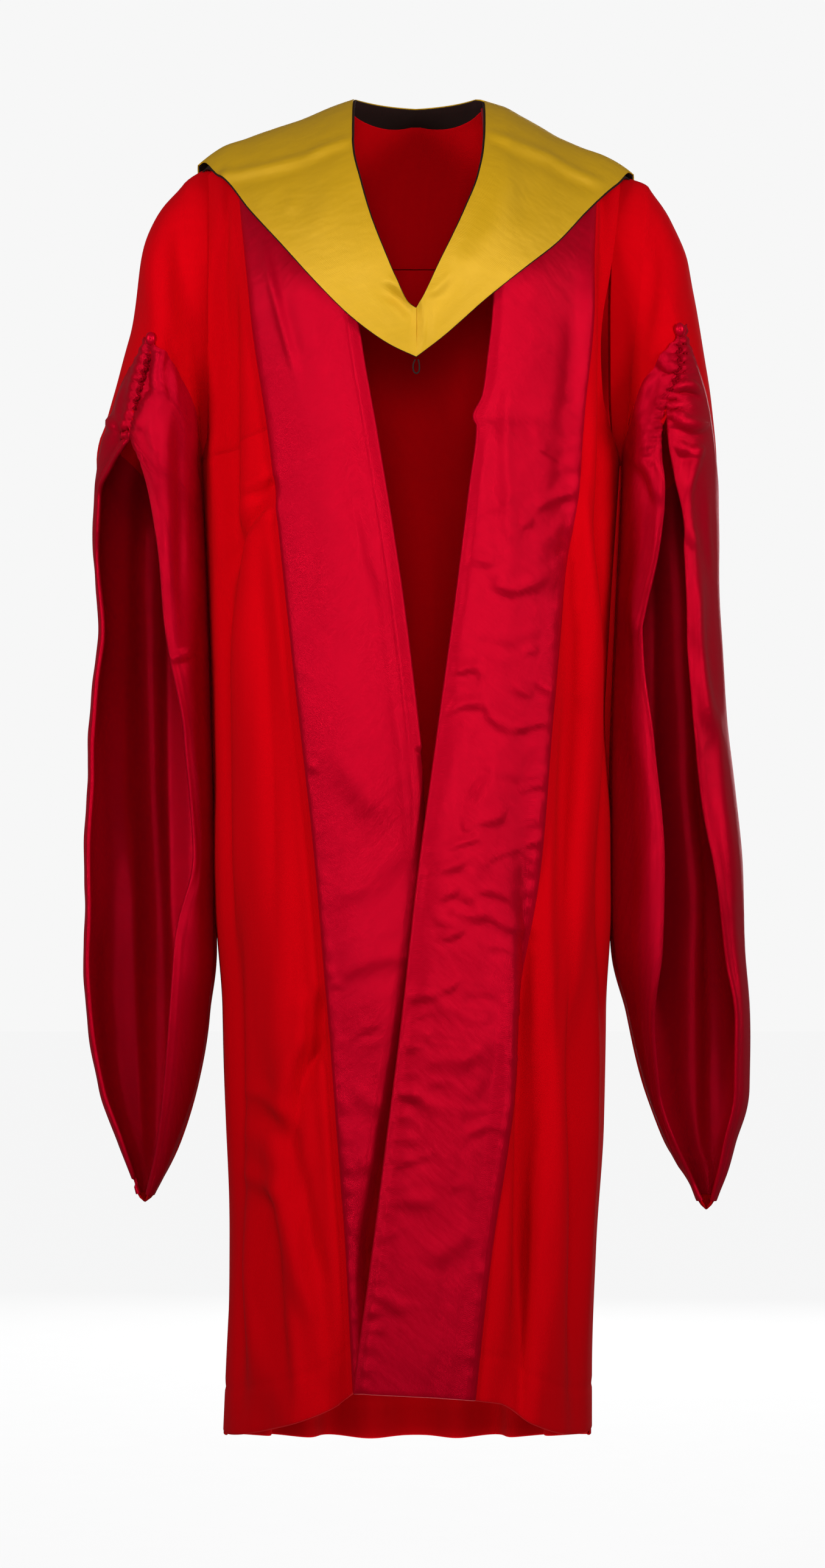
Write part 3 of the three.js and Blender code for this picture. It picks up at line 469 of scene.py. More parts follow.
def front_points(side, across, down):
    """One front: across is 0 at the free edge, 1 at the facing's seam, 2 at the side or armhole.

    down is 0 at the shoulder ridge, 1 where the front hangs straight, 2 at the hem. Columns keep
    their share between the facing's edges, or of the angle round the section beyond them.
    """
    name = side_name(side)
    facing = FACING[name]
    across, down = np.meshgrid(across, down)
    turn = np.clip(down, SMALLEST_DOWN, 1) * (math.pi / 2)
    x = np.full(across.shape, SHOULDER_X / 2)
    for _ in range(SOLVING_PASSES):
        ridge = shoulder_z(x)
        bending = ridge - FRONT_REACH_DOWN * (1 - np.cos(turn) ** (2 / FRONT_BEND))
        hem = read(FRONT_HEM, "x", side * x, "z")
        z = np.where(down <= 1, bending, lerp(ridge - FRONT_REACH_DOWN, hem, down - 1))
        seam = np.abs(read(facing, "z", z, "seam"))
        edge = side * read(facing, "z", z, "edge")
        half = read(BODY, "z", z, name)
        reach = np.where(z > UNDERARM_Z, read(ARMHOLE, "z", z, name), half)
        seam_angle = np.arccos(np.minimum(seam / half, 1) ** (ROUNDNESS / 2))
        reach_angle = np.arccos(np.minimum(reach / half, 1) ** (ROUNDNESS / 2))
        angle = lerp(seam_angle, reach_angle, np.clip(across - 1, 0, 1))
        x = np.where(across < 1, lerp(edge, seam, across), half * np.cos(angle) ** (2 / ROUNDNESS))
    near = 1 - smoothstep(x, NECK_X, OVERLAP_NEAR_X)
    layer = side * OVERLAP_LIFT * smoothstep(-z, *OVERLAP_GROWS) * near
    lift = layer + fold_lift(FRONT_FOLDS[name], side * x, z) + bulge_near(z, half - x)

    def on_section(x):
        return moved_out(side * x, np.minimum(face_y(side * x, z, True), MIDDLE_Y), z, lift)

    shown = read(facing, "z", z, "shown")
    along = (seam - x) * FACING_WIDTH / (seam - edge)
    straight = shown - FACING_TURN_RADIUS
    turned = (across < 1) & (shown < FACING_WIDTH - 0.01) & (along > straight)
    bend_x = seam - straight
    bent = np.clip((along - straight) / FACING_TURN_RADIUS, 0, FACING_TURN)
    rest = along - straight - bent * FACING_TURN_RADIUS
    in_x = bend_x - FACING_TURN_RADIUS * np.sin(bent) - rest * np.cos(bent)
    in_y = on_section(bend_x)[..., 1] + FACING_TURN_RADIUS * (1 - np.cos(bent)) + rest * np.sin(bent)
    points = np.where(turned[..., None], stack(side * in_x, in_y, z), on_section(x))
    return points if side > 0 else points[:, ::-1]


def back_points(across, down, top_z=None, low_z=None):
    """The back from the viewer's right (0) to left (1), from the neck or top_z to low_z or the hem.

    Between top and hem it opens into soft flutes: a cosine of the place across, growing downwards.
    """
    across, down = np.meshgrid(across, down)
    yoke = top_z is None
    x = np.zeros(across.shape)
    z = np.full(across.shape, FIRST_GUESS_Z)
    for _ in range(SOLVING_PASSES):
        hem = lerp(SIDE_HEM_Z, BACK_HEM_Z, np.sin(math.pi * across))
        scoop = np.sqrt(np.maximum(1 - (x / NECK_X) ** 2, 0))
        depth = section_depth(x, z, "back")
        start = np.minimum((NECK_SCOOP * scoop + SEAM_GAP) / depth, 1)
        top = shoulder_z(x) - BACK_REACH_DOWN * (1 - (1 - start ** BACK_BEND) ** (1 / BACK_BEND))
        z = lerp(top, low_z, down) if yoke else lerp(top_z, hem, down)
        half = read_sides(BODY, z, 0.5 - across)
        reach = np.where(z > UNDERARM_Z, read_sides(ARMHOLE, z, 0.5 - across), half)
        angle = np.arccos(np.minimum(reach / half, 1) ** (ROUNDNESS / 2))
        cosine = np.cos(lerp(angle, math.pi - angle, across))
        x = np.sign(cosine) * half * np.abs(cosine) ** (2 / ROUNDNESS)
    top_part = smoothstep(YOKE_Z - z, 0, FLUTES_OPEN_BY)
    low_part = smoothstep(z, BACK_HEM_Z, UNDERARM_Z)
    opening = FLUTES_AT_TOP * top_part + (1 - FLUTES_AT_TOP) * (1 - low_part)
    sides = smoothstep(np.minimum(across, 1 - across), *FLUTE_FADE)
    flute = np.cos(2 * math.pi * FLUTES * across) - FLUTE_INWARDS
    lift = 0 if yoke else FLUTE_DEPTH * opening * sides * flute + bulge_near(z, half - np.abs(x))
    return moved_out(x, np.maximum(face_y(x, z, False), MIDDLE_Y), z, lift)


def ring_place(shape, angle):
    """How far out and how high a ring lies: an ellipse whose front side bows upwards.

    Angle 0 is the outer side, a quarter turn the front, half a turn the side next to the body.
    """
    cosine = np.cos(angle)
    out = lerp(shape["inner"], shape["outer"], (1 + cosine) / 2)
    level = lerp(shape["innerZ"], shape["outerZ"], (1 + cosine) / 2)
    bowed = shape["bow"] * np.maximum(1 - cosine ** 2, 0) ** 0.4 * (1 - shape["lean"] * cosine)
    return out, level + np.where(np.sin(angle) > 0, bowed, 0)


def ring_shape(name, ring):
    rings = RINGS[name]
    return {column: read(rings, "ring", np.maximum(ring, 1), column) for column in rings}


def slit_angle(name, ring, edge):
    """The angle at which each ring crosses an edge of the slit, found by halving."""
    shape = ring_shape(name, np.maximum(ring, GATHER_RING))
    low = np.full(np.shape(ring), SMALLEST_ANGLE)
    high = math.pi - low
    for _ in range(HALVINGS):
        angle = (low + high) / 2
        out, height = ring_place(shape, angle)
        outside = out > read(SLIT[name], "z", height, edge)
        low = np.where(outside, angle, low)
        high = np.where(outside, high, angle)
    return low


def side_bulge(z):
    """How far the gown's side stands out below the arm, where it and the sleeve press together."""
    return SIDE_BULGE * smoothstep(-z, *BULGE_BEGINS) * (1 - smoothstep(-z, *BULGE_ENDS))


def bulge_near(z, distance):
    """The bulge at a distance from the side seam: a smooth hump that is full on the seam."""
    return side_bulge(z) * np.exp(-(distance / BULGE_WIDTH) ** 2)


def sleeve_points(side, rings, across):
    """A sleeve's points on rings from the armhole (0) to the tip.

    across goes once round: 0 to 1 under the outer turn-back, 1 to 2 round the back, 2 to 3 under
    the inner turn-back. Ring 0 is the armhole, and the sleeve grows out of it into ring 1. The last
    rings close towards the tip by a quarter of a circle.
    """
    name = side_name(side)
    across, ring = np.meshgrid(across, rings)
    stops = [slit_angle(name, ring[:, :1], edge) for edge in ("outerEdge", "outerTrim")]
    stops += [slit_angle(name, ring[:, :1], edge) - 2 * math.pi for edge in ("innerTrim", "innerEdge")]
    angle = stops[0] + sum(
        (stops[part + 1] - stops[part]) * np.clip(across - part, 0, 1) for part in range(3)
    )
    sine = np.sin(angle)
    hole_z = lerp(UNDERARM_Z, shoulder_z(side * SHOULDER_X), (1 + np.cos(angle)) / 2)
    hole_x = read(ARMHOLE, "z", hole_z, name)
    hole_y = np.where(
        sine >= 0, face_y(side * hole_x, hole_z, True), face_y(side * hole_x, hole_z, False)
    )
    shape = ring_shape(name, ring)
    out, height = ring_place(shape, angle)
    behind = shape["back"] * lerp(1, SLEEVE_BACK_SHARE, smoothstep(ring, *NARROW_BEHIND))
    y = MIDDLE_Y - np.where(sine > 0, shape["front"], behind) * sine
    pressed = read(BODY, "z", height, name) + side_bulge(height) + SIDE_TOUCH
    near = ((shape["outer"] - out) / (shape["outer"] - shape["inner"])) ** 4
    near = near * smoothstep(-height, *PRESS_BEGINS) * (1 - smoothstep(-height, *BULGE_ENDS))
    out = out + (pressed - shape["inner"]) * near
    into_tip = np.clip((ring - TIP_START) / (SLEEVE_RINGS - TIP_START), 0, 1)
    open_by = np.minimum(np.sqrt(1 + TIP_LEFT_OPEN - into_tip ** 2), 1)
    out = lerp((shape["inner"] + shape["outer"]) / 2, out, open_by)
    y = lerp(MIDDLE_Y, y, open_by)
    grown = np.clip(ring, 0, 1)
    under = ARMHOLE_UNDER * np.sign(sine)
    points = stack(
        side * lerp(hole_x - ARMHOLE_TUCK * (1 - 4 * grown), out, grown),
        lerp(hole_y + under, y, grown),
        lerp(hole_z, height, grown),
    )
    return points if side > 0 else points[:, ::-1]


def hood_front_points(side, across, along):
    """The front of the hood on one side: over the gown's face, from neck edge (0) to lower edge (1)."""
    rows = HOOD[side_name(side)]
    across, along = np.meshgrid(across, along)
    x = lerp(read(rows, "along", along, "neckX"), read(rows, "along", along, "lowX"), across)
    flat = lerp(read(rows, "along", along, "neckZ"), read(rows, "along", along, "lowZ"), across)
    ridge = shoulder_z(x) + HOOD_LIFT
    z = np.minimum(lerp(ridge, flat, smoothstep(along, 0, RIDGE_SHARE)), ridge) - SEAM_GAP
    y = np.where(along == 0, MIDDLE_Y, face_y(x, z, True, HOOD_LIFT)) - SEAM_GAP
    points = stack(np.where(along == 1, HOOD_MIDDLE_X, x), y, z)
    return points if side > 0 else points[:, ::-1]


def hood_back_points(across, down):
    """The back of the hood from the viewer's right to left: a rounded drape over neck and shoulders."""
    across, down = np.meshgrid(across, down)
    x = HOOD_TIP_X * across
    scoop = np.sqrt(np.maximum(1 - (x / HOOD_NECK_X) ** 2, 0))
    lift = HOOD_LIFT + HOOD_NECK_LIFT * np.sqrt(scoop)
    start = np.minimum((HOOD_NECK_SCOOP * scoop + SEAM_GAP) / section_depth(x, NECK_Z, "back", lift), 1)
    drop = 1 - (1 - start ** BACK_BEND) ** (1 / BACK_BEND)
    inside = np.minimum(np.abs(x), HOOD_NECK_X)
    rounded = SHOULDER_SLOPE * (inside - inside ** 2 / (2 * HOOD_NECK_X) - HOOD_NECK_X / 2)
    top = shoulder_z(x) + rounded + lift - BACK_REACH_DOWN * drop
    round_off = np.sqrt(np.maximum(0, 1 - (x / HOOD_TIP_X) ** 2))
    low = lerp(top - HOOD_TIP_WIDTH, HOOD_BACK_Z, round_off ** HOOD_BACK_CURVE)
    z = lerp(top, low, down)
    bulge = COWL_BULGE * round_off ** 3 * np.sin(math.pi * COWL_REACH * down) ** 2
    y = face_y(x, z, False, lift + HOOD_BACK_FLARE * down * round_off) + bulge
    return stack(x, np.maximum(y, MIDDLE_Y + SEAM_GAP), z)


# Pressed creases and soft bends of the cloth: each runs from one place to another with a bow to one
# side. Depth is + where the ridge stands out.
FRONT_CREASES = {
    "left": table(
        "fromX fromZ toX toZ bow width depth",
        (-164, -150, -161, -410, 3, 6.5, -9),
        (-153, -180, -150, -380, 2, 9, 3),
        (-126, -322, -148, -338, 0, 5, -8),
        (-128, -334, -164, -396, 5, 5.5, -7),
        (-126, -346, -150, -382, 4, 7, 4),
        (-168, -380, -171, -740, 2, 8, -12),
        (-156, -400, -158, -760, 2, 11, 6),
        (-176, -110, -175, -330, 0, 7, -10),
        (-169, -45, -173, -125, 0, 4, -3),
        (-140, -380, -128, -720, -3, 10, -7),
        (-145, -690, -147, -925, 0, 9, 5.5),
        (-162, -740, -158, -1140, 3, 8, -10),
        (-146, -865, -110, -892, -3, 8, 3.5),
        (-140, -889, -112, -920, -3, 9, -3.5),
        (-84, -820, -106, -888, 6, 8, -9),
        (-108, -880, -112, -985, 0, 8, -7),
        (-154, -938, -118, -962, 0, 9, 3.5),
        (-118, -955, -95, -1060, 3, 9, 6),
        (-134, -950, -116, -1130, 4, 8, -9),
        (-96, -1040, -80, -1120, 0, 9, 5),
        (-100, -930, -84, -1030, 3, 7, -6),
        (-88, -780, -90, -832, 0, 6.5, -12),
        (-148, -1000, -140, -1140, 0, 10, 5.5),
    ),
    "right": table(
        "fromX fromZ toX toZ bow width depth",
        (98, -700, 93, -1150, 0, 8, -12),
        (123, -620, 118, -1150, 0, 13, 7),
        (110, -860, 106, -1140, 2, 7, 4),
        (146, -640, 142, -1160, 3, 8, -10),
        (159, -760, 155, -1100, 0, 8, 5),
        (143, -300, 168, -655, -5, 9, 6),
        (153, -330, 172, -620, -4, 6.5, -7),
        (171, -45, 172, -120, 0, 5, -5),
        (171, -120, 169, -440, 2, 8, -13),
        (158, -120, 154, -330, 2, 9, 4),
        (171, -400, 167, -780, 0, 8, -12),
        (140, -460, 128, -860, 4, 9, -8),
        (152, -560, 148, -820, 4, 8, 5.5),
        (112, -1010, 106, -1120, 2, 6, -3),
    ),
}
FACING_CREASES = {
    "left": table(
        "fromX fromZ toX toZ bow width depth",
        (-66, -300, -20, -430, -6, 15, -2.2),
        (-113, -488, -91, -497, 0, 4, 0.9),
        (-106, -228, -134, -118, 0, 4, 2),
        (-70, -560, -30, -620, 4, 12, 1.2),
        (-85, -700, 0, -640, 5, 13, 1.3),
        (-62, -760, 5, -745, -6, 8, 1.3),
        (-55, -860, -20, -880, 3, 9, 1.2),
        (-52, -930, -18, -915, 3, 9, 1.3),
        (-48, -1010, -25, -1020, 2, 8, 1.2),
    ),
    "right": table(
        "fromX fromZ toX toZ bow width depth",
        (81, -240, 84, -385, 3, 6, 1.6),
        (104, -270, 113, -297, 0, 5, 1.3),
        (104, -349, 141, -332, -2, 4, 1.8),
        (96, -368, 124, -352, 3, 6, -1.2),
        (66, -412, 90, -421, 2, 6, 1.9),
        (88, -421, 128, -409, -4, 6, 1.9),
        (29, -490, 55, -486, 3, 4.5, 1.7),
        (52, -486, 60, -498, 0, 5, 1.6),
        (24, -531, 61, -521, -4, 4.5, 1.8),
        (60, -521, 87, -545, 4, 5, 2),
        (85, -545, 120, -540, -3, 4.5, 1.9),
        (104, -495, 123, -526, -2, 5, 1.7),
        (86, -505, 103, -513, 2, 4, 1.4),
        (54, -626, 78, -618, 2, 5, 1.4),
        (68, -580, 96, -590, -3, 7, 1.2),
        (38, -600, 64, -575, 3, 8, -1.1),
        (70, -713, 106, -719, 5, 5, 1.8),
        (44, -690, 74, -712, 3, 8, 1.2),
        (-4, -770, 30, -800, -4, 9, 1.4),
        (20, -842, 60, -820, 5, 9, 1.3),
        (-8, -860, 22, -880, 2, 6, 1.2),
        (44, -900, 78, -860, -6, 12, -1.4),
        (-22, -950, 14, -962, 3, 7, 1.3),
        (10, -1010, 46, -985, 4, 10, 1.3),
        (-34, -1040, -6, -1056, 2, 6, 1.3),
    ),
}
SLEEVE_CREASES = {
    "left": table(
        "fromX fromZ toX toZ bow width depth",
        (-230, -200, -230, -242, 1, 4, 2.2),
        (-230, -238, -244, -256, -2, 4, 2.4),
        (-236, -256, -249, -275, 2, 4, 2.2),
        (-215, -265, -213, -420, -2, 9, -3.2),
        (-228, -280, -222, -450, 3, 7, 1.6),
        (-221, -480, -206, -475, 0, 3.5, 1.2),
        (-276, -262, -269, -273, 0, 4, 1.8),
        (-258, -272, -284, -314, 4, 7, -2.6),
        (-276, -450, -245, -572, 5, 9, -2.4),
        (-285, -560, -262, -700, -5, 11, 2.6),
        (-212, -560, -222, -720, 4, 9, -2.4),
        (-205, -640, -200, -780, 0, 8, 2.2),
        (-280, -720, -258, -850, 3, 10, -2.4),
        (-290, -660, -282, -800, 2, 8, 1.8),
        (-240, -760, -252, -900, 2, 9, 2),
        (-222, -180, -205, -235, 3, 8, -2.2),
        (-236, -95, -222, -200, 5, 13, 2.6),
        (-214, -85, -204, -190, 3, 9, -2),
    ),
    "right": table(
        "fromX fromZ toX toZ bow width depth",
        (218, -207, 233, -220, 2, 4.5, 2.2),
        (212, -228, 203, -260, 2, 5, 2.4),
        (204, -255, 204, -303, -2, 5, 2.2),
        (204, -300, 220, -338, -3, 5, 2.4),
        (221, -258, 219, -298, 0, 6, -2.6),
        (188, -400, 203, -458, 2, 6, 2.4),
        (184, -380, 198, -452, 0, 6, -2),
        (228, -240, 251, -238, -4, 4, 2.2),
        (231, -261, 258, -270, 4, 5, 2.6),
        (234, -289, 253, -293, 3, 4, 2),
        (252, -291, 240, -338, 2, 5, 2.6),
        (240, -334, 248, -379, 2, 6, 2.6),
        (249, -412, 255, -480, 2, 6, 2.4),
        (254, -476, 266, -544, 2, 7, 2.4),
        (262, -360, 266, -520, 0, 9, -2),
        (272, -540, 286, -700, 3, 10, 2.4),
        (262, -600, 276, -760, 3, 9, -2.4),
        (205, -540, 212, -700, -3, 9, 2.2),
        (226, -660, 236, -830, 3, 9, -2.2),
        (286, -780, 276, -900, 2, 9, 2),
        (236, -95, 224, -180, -5, 13, 2.4),
        (216, -85, 206, -190, -3, 9, -2),
    ),
}
TURNBACK_CREASES = {
    "left": table(
        "fromX fromZ toX toZ bow width depth",
        (-227, -203, -234, -236, 1, 2.6, 1.5),
        (-234, -234, -224, -246, -1, 2.4, 1.6),
        (-225, -245, -238, -272, 2, 2.6, 1.6),
        (-238, -270, -231, -300, 1, 2.8, 1.4),
        (-219, -215, -216, -252, 1, 3, 1.2),
        (-212, -262, -210, -420, -2, 4.5, 1.6),
        (-222, -330, -216, -470, 2, 4, 1.3),
        (-205, -300, -203, -390, 1, 5, -1.5),
        (-221, -478, -204, -474, 0, 2.8, 1.3),
        (-210, -480, -197, -540, 2, 4, 1.2),
        (-205, -560, -200, -650, -2, 4, 1.4),
        (-262, -236, -268, -262, 1, 2.8, 1.5),
        (-268, -262, -260, -276, 0, 2.6, 1.3),
        (-255, -250, -262, -290, 2, 3, 1.4),
        (-248, -216, -256, -246, 1, 3, 1.3),
    ),
    "right": table(
        "fromX fromZ toX toZ bow width depth",
        (220, -210, 232, -222, 2, 2.8, 1.5),
        (212, -226, 204, -262, 2, 3, 1.6),
        (203, -258, 206, -304, -2, 3, 1.5),
        (206, -302, 216, -336, -3, 3, 1.6),
        (196, -300, 193, -380, 0, 4, 1.5),
        (212, -340, 208, -440, 1, 4, -1.4),
        (198, -400, 200, -470, 1, 3.6, 1.5),
        (230, -238, 254, -240, -4, 2.8, 1.6),
        (232, -262, 260, -270, 4, 3, 1.7),
        (234, -288, 256, -294, 3, 2.8, 1.5),
        (254, -292, 242, -336, 2, 3.2, 1.6),
        (242, -334, 248, -380, 2, 3.4, 1.6),
        (260, -330, 264, -400, 1, 3.4, 1.4),
        (250, -412, 256, -482, 2, 3.6, 1.6),
        (256, -478, 266, -546, 2, 4, 1.6),
        (270, -520, 280, -640, 2, 4.4, 1.5),
        (266, -600, 284, -700, 3, 4, -1.3),
        (284, -680, 292, -780, 2, 4.4, 1.5),
        (206, -560, 213, -660, -3, 4, 1.4),
    ),
}
SLEEVE_BACK_FOLDS = {
    "left": table(
        "fromX fromZ toX toZ bow width depth",
        (-270, -300, -276, -700, 6, 12, -8),
        (-252, -360, -246, -900, -6, 13, 9),
        (-226, -340, -218, -820, 4, 11, -8),
        (-206, -380, -202, -760, 2, 9, 5),
        (-268, -640, -250, -940, 6, 10, -7),
        (-236, -640, -240, -940, -4, 9, 6),
    ),
    "right": table(
        "fromX fromZ toX toZ bow width depth",
        (262, -300, 276, -720, 5, 12, -8),
        (242, -350, 248, -900, -6, 13, 9),
        (218, -330, 216, -800, 4, 11, -8),
        (200, -380, 200, -740, 2, 9, 5),
        (282, -640, 270, -940, 5, 10, -7),
        (256, -620, 262, -930, -4, 9, 6),
    ),
}
HOOD_CREASES = {
    "left": table(
        "fromX fromZ toX toZ bow width depth",
        (-176, -44, -90, -27, 2, 5, 2.4),
        (-96, -28, -56, -14, -1, 4, 2),
        (-168, -36, -180, -50, 0, 4, 1.3),
        (-26, -146, -2, -168, -3, 5, 2.6),
        (-26, -158, -5, -181, -3, 6, -2.3),
        (-70, -60, -88, -110, 4, 14, 1),
        (-110, -60, -112, -82, 0, 5, 0.8),
        (-44, -130, -30, -170, 3, 12, 0.9),
    ),
    "right": table(
        "fromX fromZ toX toZ bow width depth",
        (66, -8, 86, -15, 0, 4, 2),
        (82, -14, 123, -28, 1, 5, 2.4),
        (119, -27, 168, -49, 2, 5, 2.2),
        (79, -28, 55, -124, -6, 13, 2.2),
        (6, -160, 8, -204, -2, 4, 2.4),
        (8, -160, 30, -141, 2, 5, 2.2),
        (112, -50, 96, -90, 4, 12, -0.9),
        (44, -120, 34, -160, -3, 10, 0.8),
    ),
}
HOOD_BACK_CREASES = table(
    "fromX fromZ toX toZ bow width depth",
    (-60, -20, -30, -300, -10, 22, 3),
    (62, -24, 26, -290, 12, 20, 3),
    (-120, -30, -70, -190, -8, 18, 2.4),
    (118, -34, 76, -200, 9, 18, 2.4),
    (-20, -60, -6, -240, 5, 16, -2.4),
    (24, -70, 4, -230, -6, 15, -2.2),
    (-160, -40, -120, -110, -4, 10, 1.6),
    (158, -44, 124, -118, 5, 10, 1.6),
)
TROUGH_SHARE = 0.45

# Puckers of a facing, in rows along its seam or edge: from and to height, spacing, length, depth, seed
PUCKERS = {
    "left": [
        ("seam", -520, -1110, 10, 13, 0.9, 35),
        ("edge", -470, -700, 14, 11, 0.6, 36),
    ],
    "right": [
        ("seam", -240, -700, 9, 17, 1.1, 31),
        ("seam", -700, -1120, 12, 12, 0.7, 32),
        ("edge", -270, -760, 26, 10, 0.5, 33),
        ("edge", -780, -1125, 10, 20, 1.2, 34),
    ],
}
# Small creases strewn over a facing: count, from and to height, length, depth, seed
STREWN = {
    "left": [(9, -640, -1120, 30, 1.0, 46)],
    "right": [(34, -330, -780, 26, 1.5, 44), (16, -700, -1120, 30, 1.1, 45)],
}
RIDGES_AMONG = 0.7
# Ripples and fine crumples: the seed of each, the wavelength of its waves and their height
RIPPLES = {
    "back_yoke": (11, 80, 0.4),
    "back": (12, 120, 1.1),
    "front_left": (25, 110, 0.9),
    "front_right": (26, 110, 0.9),
    "sleeve_left": (55, 85, 1.1),
    "sleeve_right": (56, 85, 1.1),
    "turnback_left": (60, 28, 0.3),
    "turnback_right": (62, 28, 0.3),
    "hood_front": (71, 75, 0.35),
    "hood_back": (72, 90, 0.5),
}
CRUMPLES = {
    "left": [(41, 26, 0.14), (42, 55, 0.14)],
    "right": [(41, 26, 0.32), (42, 55, 0.32)],
}


def creases(rows, x, z):
    """Ridges with a shallower trough beside them, each along a bowed line, fading at its ends."""
    lift = np.zeros(np.broadcast(x, z).shape)
    for from_x, from_z, to_x, to_z, bow, width, depth in zip(*rows.values()):
        run, fall = to_x - from_x, to_z - from_z
        length = math.hypot(run, fall)
        along = ((x - from_x) * run + (z - from_z) * fall) / length ** 2
        across = ((x - from_x) * fall - (z - from_z) * run) / length
        across = (across - 4 * bow * along * (1 - along)) / width
        fade = smoothstep(along, -0.2, 0.3) * (1 - smoothstep(along, 0.7, 1.2))
        trough = TROUGH_SHARE * np.exp(-(((across - 1.8) / 1.4) ** 2))
        lift += depth * fade * (np.exp(-across * across) - trough)
    return lift


def pucker_rows(facing, side, column, from_z, to_z, spacing, length, depth, seed):
    """Short creases that a seam draws in: they start on its line and lean a little, none alike."""
    random = np.random.default_rng(seed)
    count = int((from_z - to_z) / spacing)
    z = np.linspace(from_z, to_z, count) + random.uniform(-0.4, 0.4, count) * spacing
    x = read(facing, "z", z, column)
    inwards = side * (1 if column == "edge" else -1)
    reach = length * random.uniform(0.4, 1.2, count)
    lean = random.uniform(-0.35, 0.5, count)
    return {
        "fromX": x - 4 * inwards,
        "fromZ": z,
        "toX": x + inwards * reach,
        "toZ": z + lean * reach,
        "bow": random.uniform(-1.5, 1.5, count),
        "width": random.uniform(3, 5.5, count),
        "depth": depth * random.uniform(0.4, 1.2, count),
    }


def scattered(facing, side, count, from_z, to_z, length, depth, seed):
    """Small pressed creases strewn over a facing: nearly level, sharp, and none alike."""
    random = np.random.default_rng(seed)
    z = random.uniform(to_z, from_z, count)
    share = random.uniform(0.08, 0.9, count)
    x = lerp(read(facing, "z", z, "edge"), read(facing, "z", z, "seam"), share)
    reach = side * length * random.uniform(0.4, 1.3, count)
    lean = random.uniform(-0.45, 0.45, count)
    return {
        "fromX": x - reach / 2,
        "fromZ": z - lean * reach / 2,
        "toX": x + reach / 2,
        "toZ": z + lean * reach / 2,
        "bow": random.uniform(-4, 4, count),
        "width": random.uniform(2.6, 4.5, count),
        "depth": depth * random.uniform(0.4, 1.2, count)
        * np.where(random.random(count) < RIDGES_AMONG, 1, -1),
    }


def ripple(x, z, seed, wavelength, height):
    """Slow unevenness of hanging cloth: a sum of seeded waves in all directions, longer ones upwards."""
    random = np.random.default_rng(seed)
    lift = np.zeros(np.broadcast(x, z).shape)
    for _ in range(9):
        turn = random.uniform(0, math.pi)
        size = wavelength * random.uniform(0.6, 1.7)
        shift = random.uniform(0, 2 * math.pi)
        phase = (x * math.cos(turn) + 0.45 * z * math.sin(turn)) * (2 * math.pi / size) + shift
        lift += np.sin(phase + 0.9 * np.sin(0.37 * phase + shift))
    return height * lift / 3


def unit(vectors):
    return vectors / np.maximum(np.linalg.norm(vectors, axis=-1, keepdims=True), 1e-9)


def normals_of(points, joined=0):
    """Outward normal at each place of a grid: the step down crossed with the step across.

    The first rows, as many as joined, close on themselves, so their ends share one normal.
    """
    across = np.gradient(points, axis=1)
    if joined:
        wrapped = (points[:joined, 1] - points[:joined, -2]) / 2
        across[:joined, 0] = wrapped
        across[:joined, -1] = wrapped
    return unit(np.cross(np.gradient(points, axis=0), across))


def raised(points, lift, joined=0):
    """A grid moved outwards along its normals by lift."""
    return points + normals_of(points, joined) * np.asarray(lift)[..., None]


def seam_roll(distance, depth=0.9, width=3.2):
    """Cloth drawn in along a seam: a smooth dip that is deepest on the seam itself."""
    return -depth * np.exp(-((distance / width) ** 2))


def lengths(points, axis):
    """Distance along the cloth from the grid's first row or column to each place."""
    steps = np.linalg.norm(np.diff(points, axis=axis), axis=-1)
    start = np.zeros_like(np.take(steps, [0], axis=axis))
    return np.concatenate([start, np.cumsum(steps, axis=axis)], axis=axis)


def from_ends(points):
    """Distance along each row of a grid to the nearer of its two ends."""
    along = lengths(points, 1)
    return np.minimum(along, along[:, -1:] - along)


def from_outside(points, side):
    """Distance along each row of a grid from the end that is farther from the gown's middle."""
    along = lengths(points, 1)
    return along if side < 0 else along[:, -1:] - along


def turned(grid, edge):
    """A grid turned so that one edge is its last row: its low edge, its first or its last column."""
    if edge == "low":
        return grid
    return grid.swapaxes(0, 1)[::-1] if edge == "first" else grid.swapaxes(0, 1)


def turned_back(grid, edge):
    """A grid from turned() with its rows and columns as they were."""
    if edge == "low":
        return grid
    return grid[::-1].swapaxes(0, 1) if edge == "first" else grid.swapaxes(0, 1)


def folded(points, edge, radius, back):
    """A grid carried on past one edge: half round a fold of that radius, then back beneath itself."""
    normals = turned(normals_of(points), edge)
    grid = turned(points, edge)
    beyond = unit(grid[-1] - grid[-2])
    turns = np.linspace(0, math.pi, 7)[1:]
    centre = grid[-1] - radius * normals[-1]
    bend = [centre + radius * (math.cos(a) * normals[-1] + math.sin(a) * beyond) for a in turns]
    count = int(np.searchsorted(np.linalg.norm(grid[-1] - grid[::-1], axis=-1).mean(axis=1), back))
    under = (grid - 2 * radius * normals)[::-1][1:count + 1]
    return turned_back(np.concatenate([grid, np.array(bend), under]), edge)


def make_object(name, places, faces, material, uv=None):
    """An object with one smooth mesh, from places in millimetres and lists of corners."""
    mesh = bpy.data.meshes.new(name)
    mesh.from_pydata((places * MM).tolist(), [], faces)
    if uv is not None:
        layer = mesh.uv_layers.new(name="cloth")
        layer.data.foreach_set("uv", (uv * MM).astype(np.float32).ravel())
    mesh.polygons.foreach_set("use_smooth", np.ones(len(mesh.polygons), bool))
    mesh.materials.append(material)
    piece = bpy.data.objects.new(name, mesh)
    bpy.context.scene.collection.objects.link(piece)
    return piece


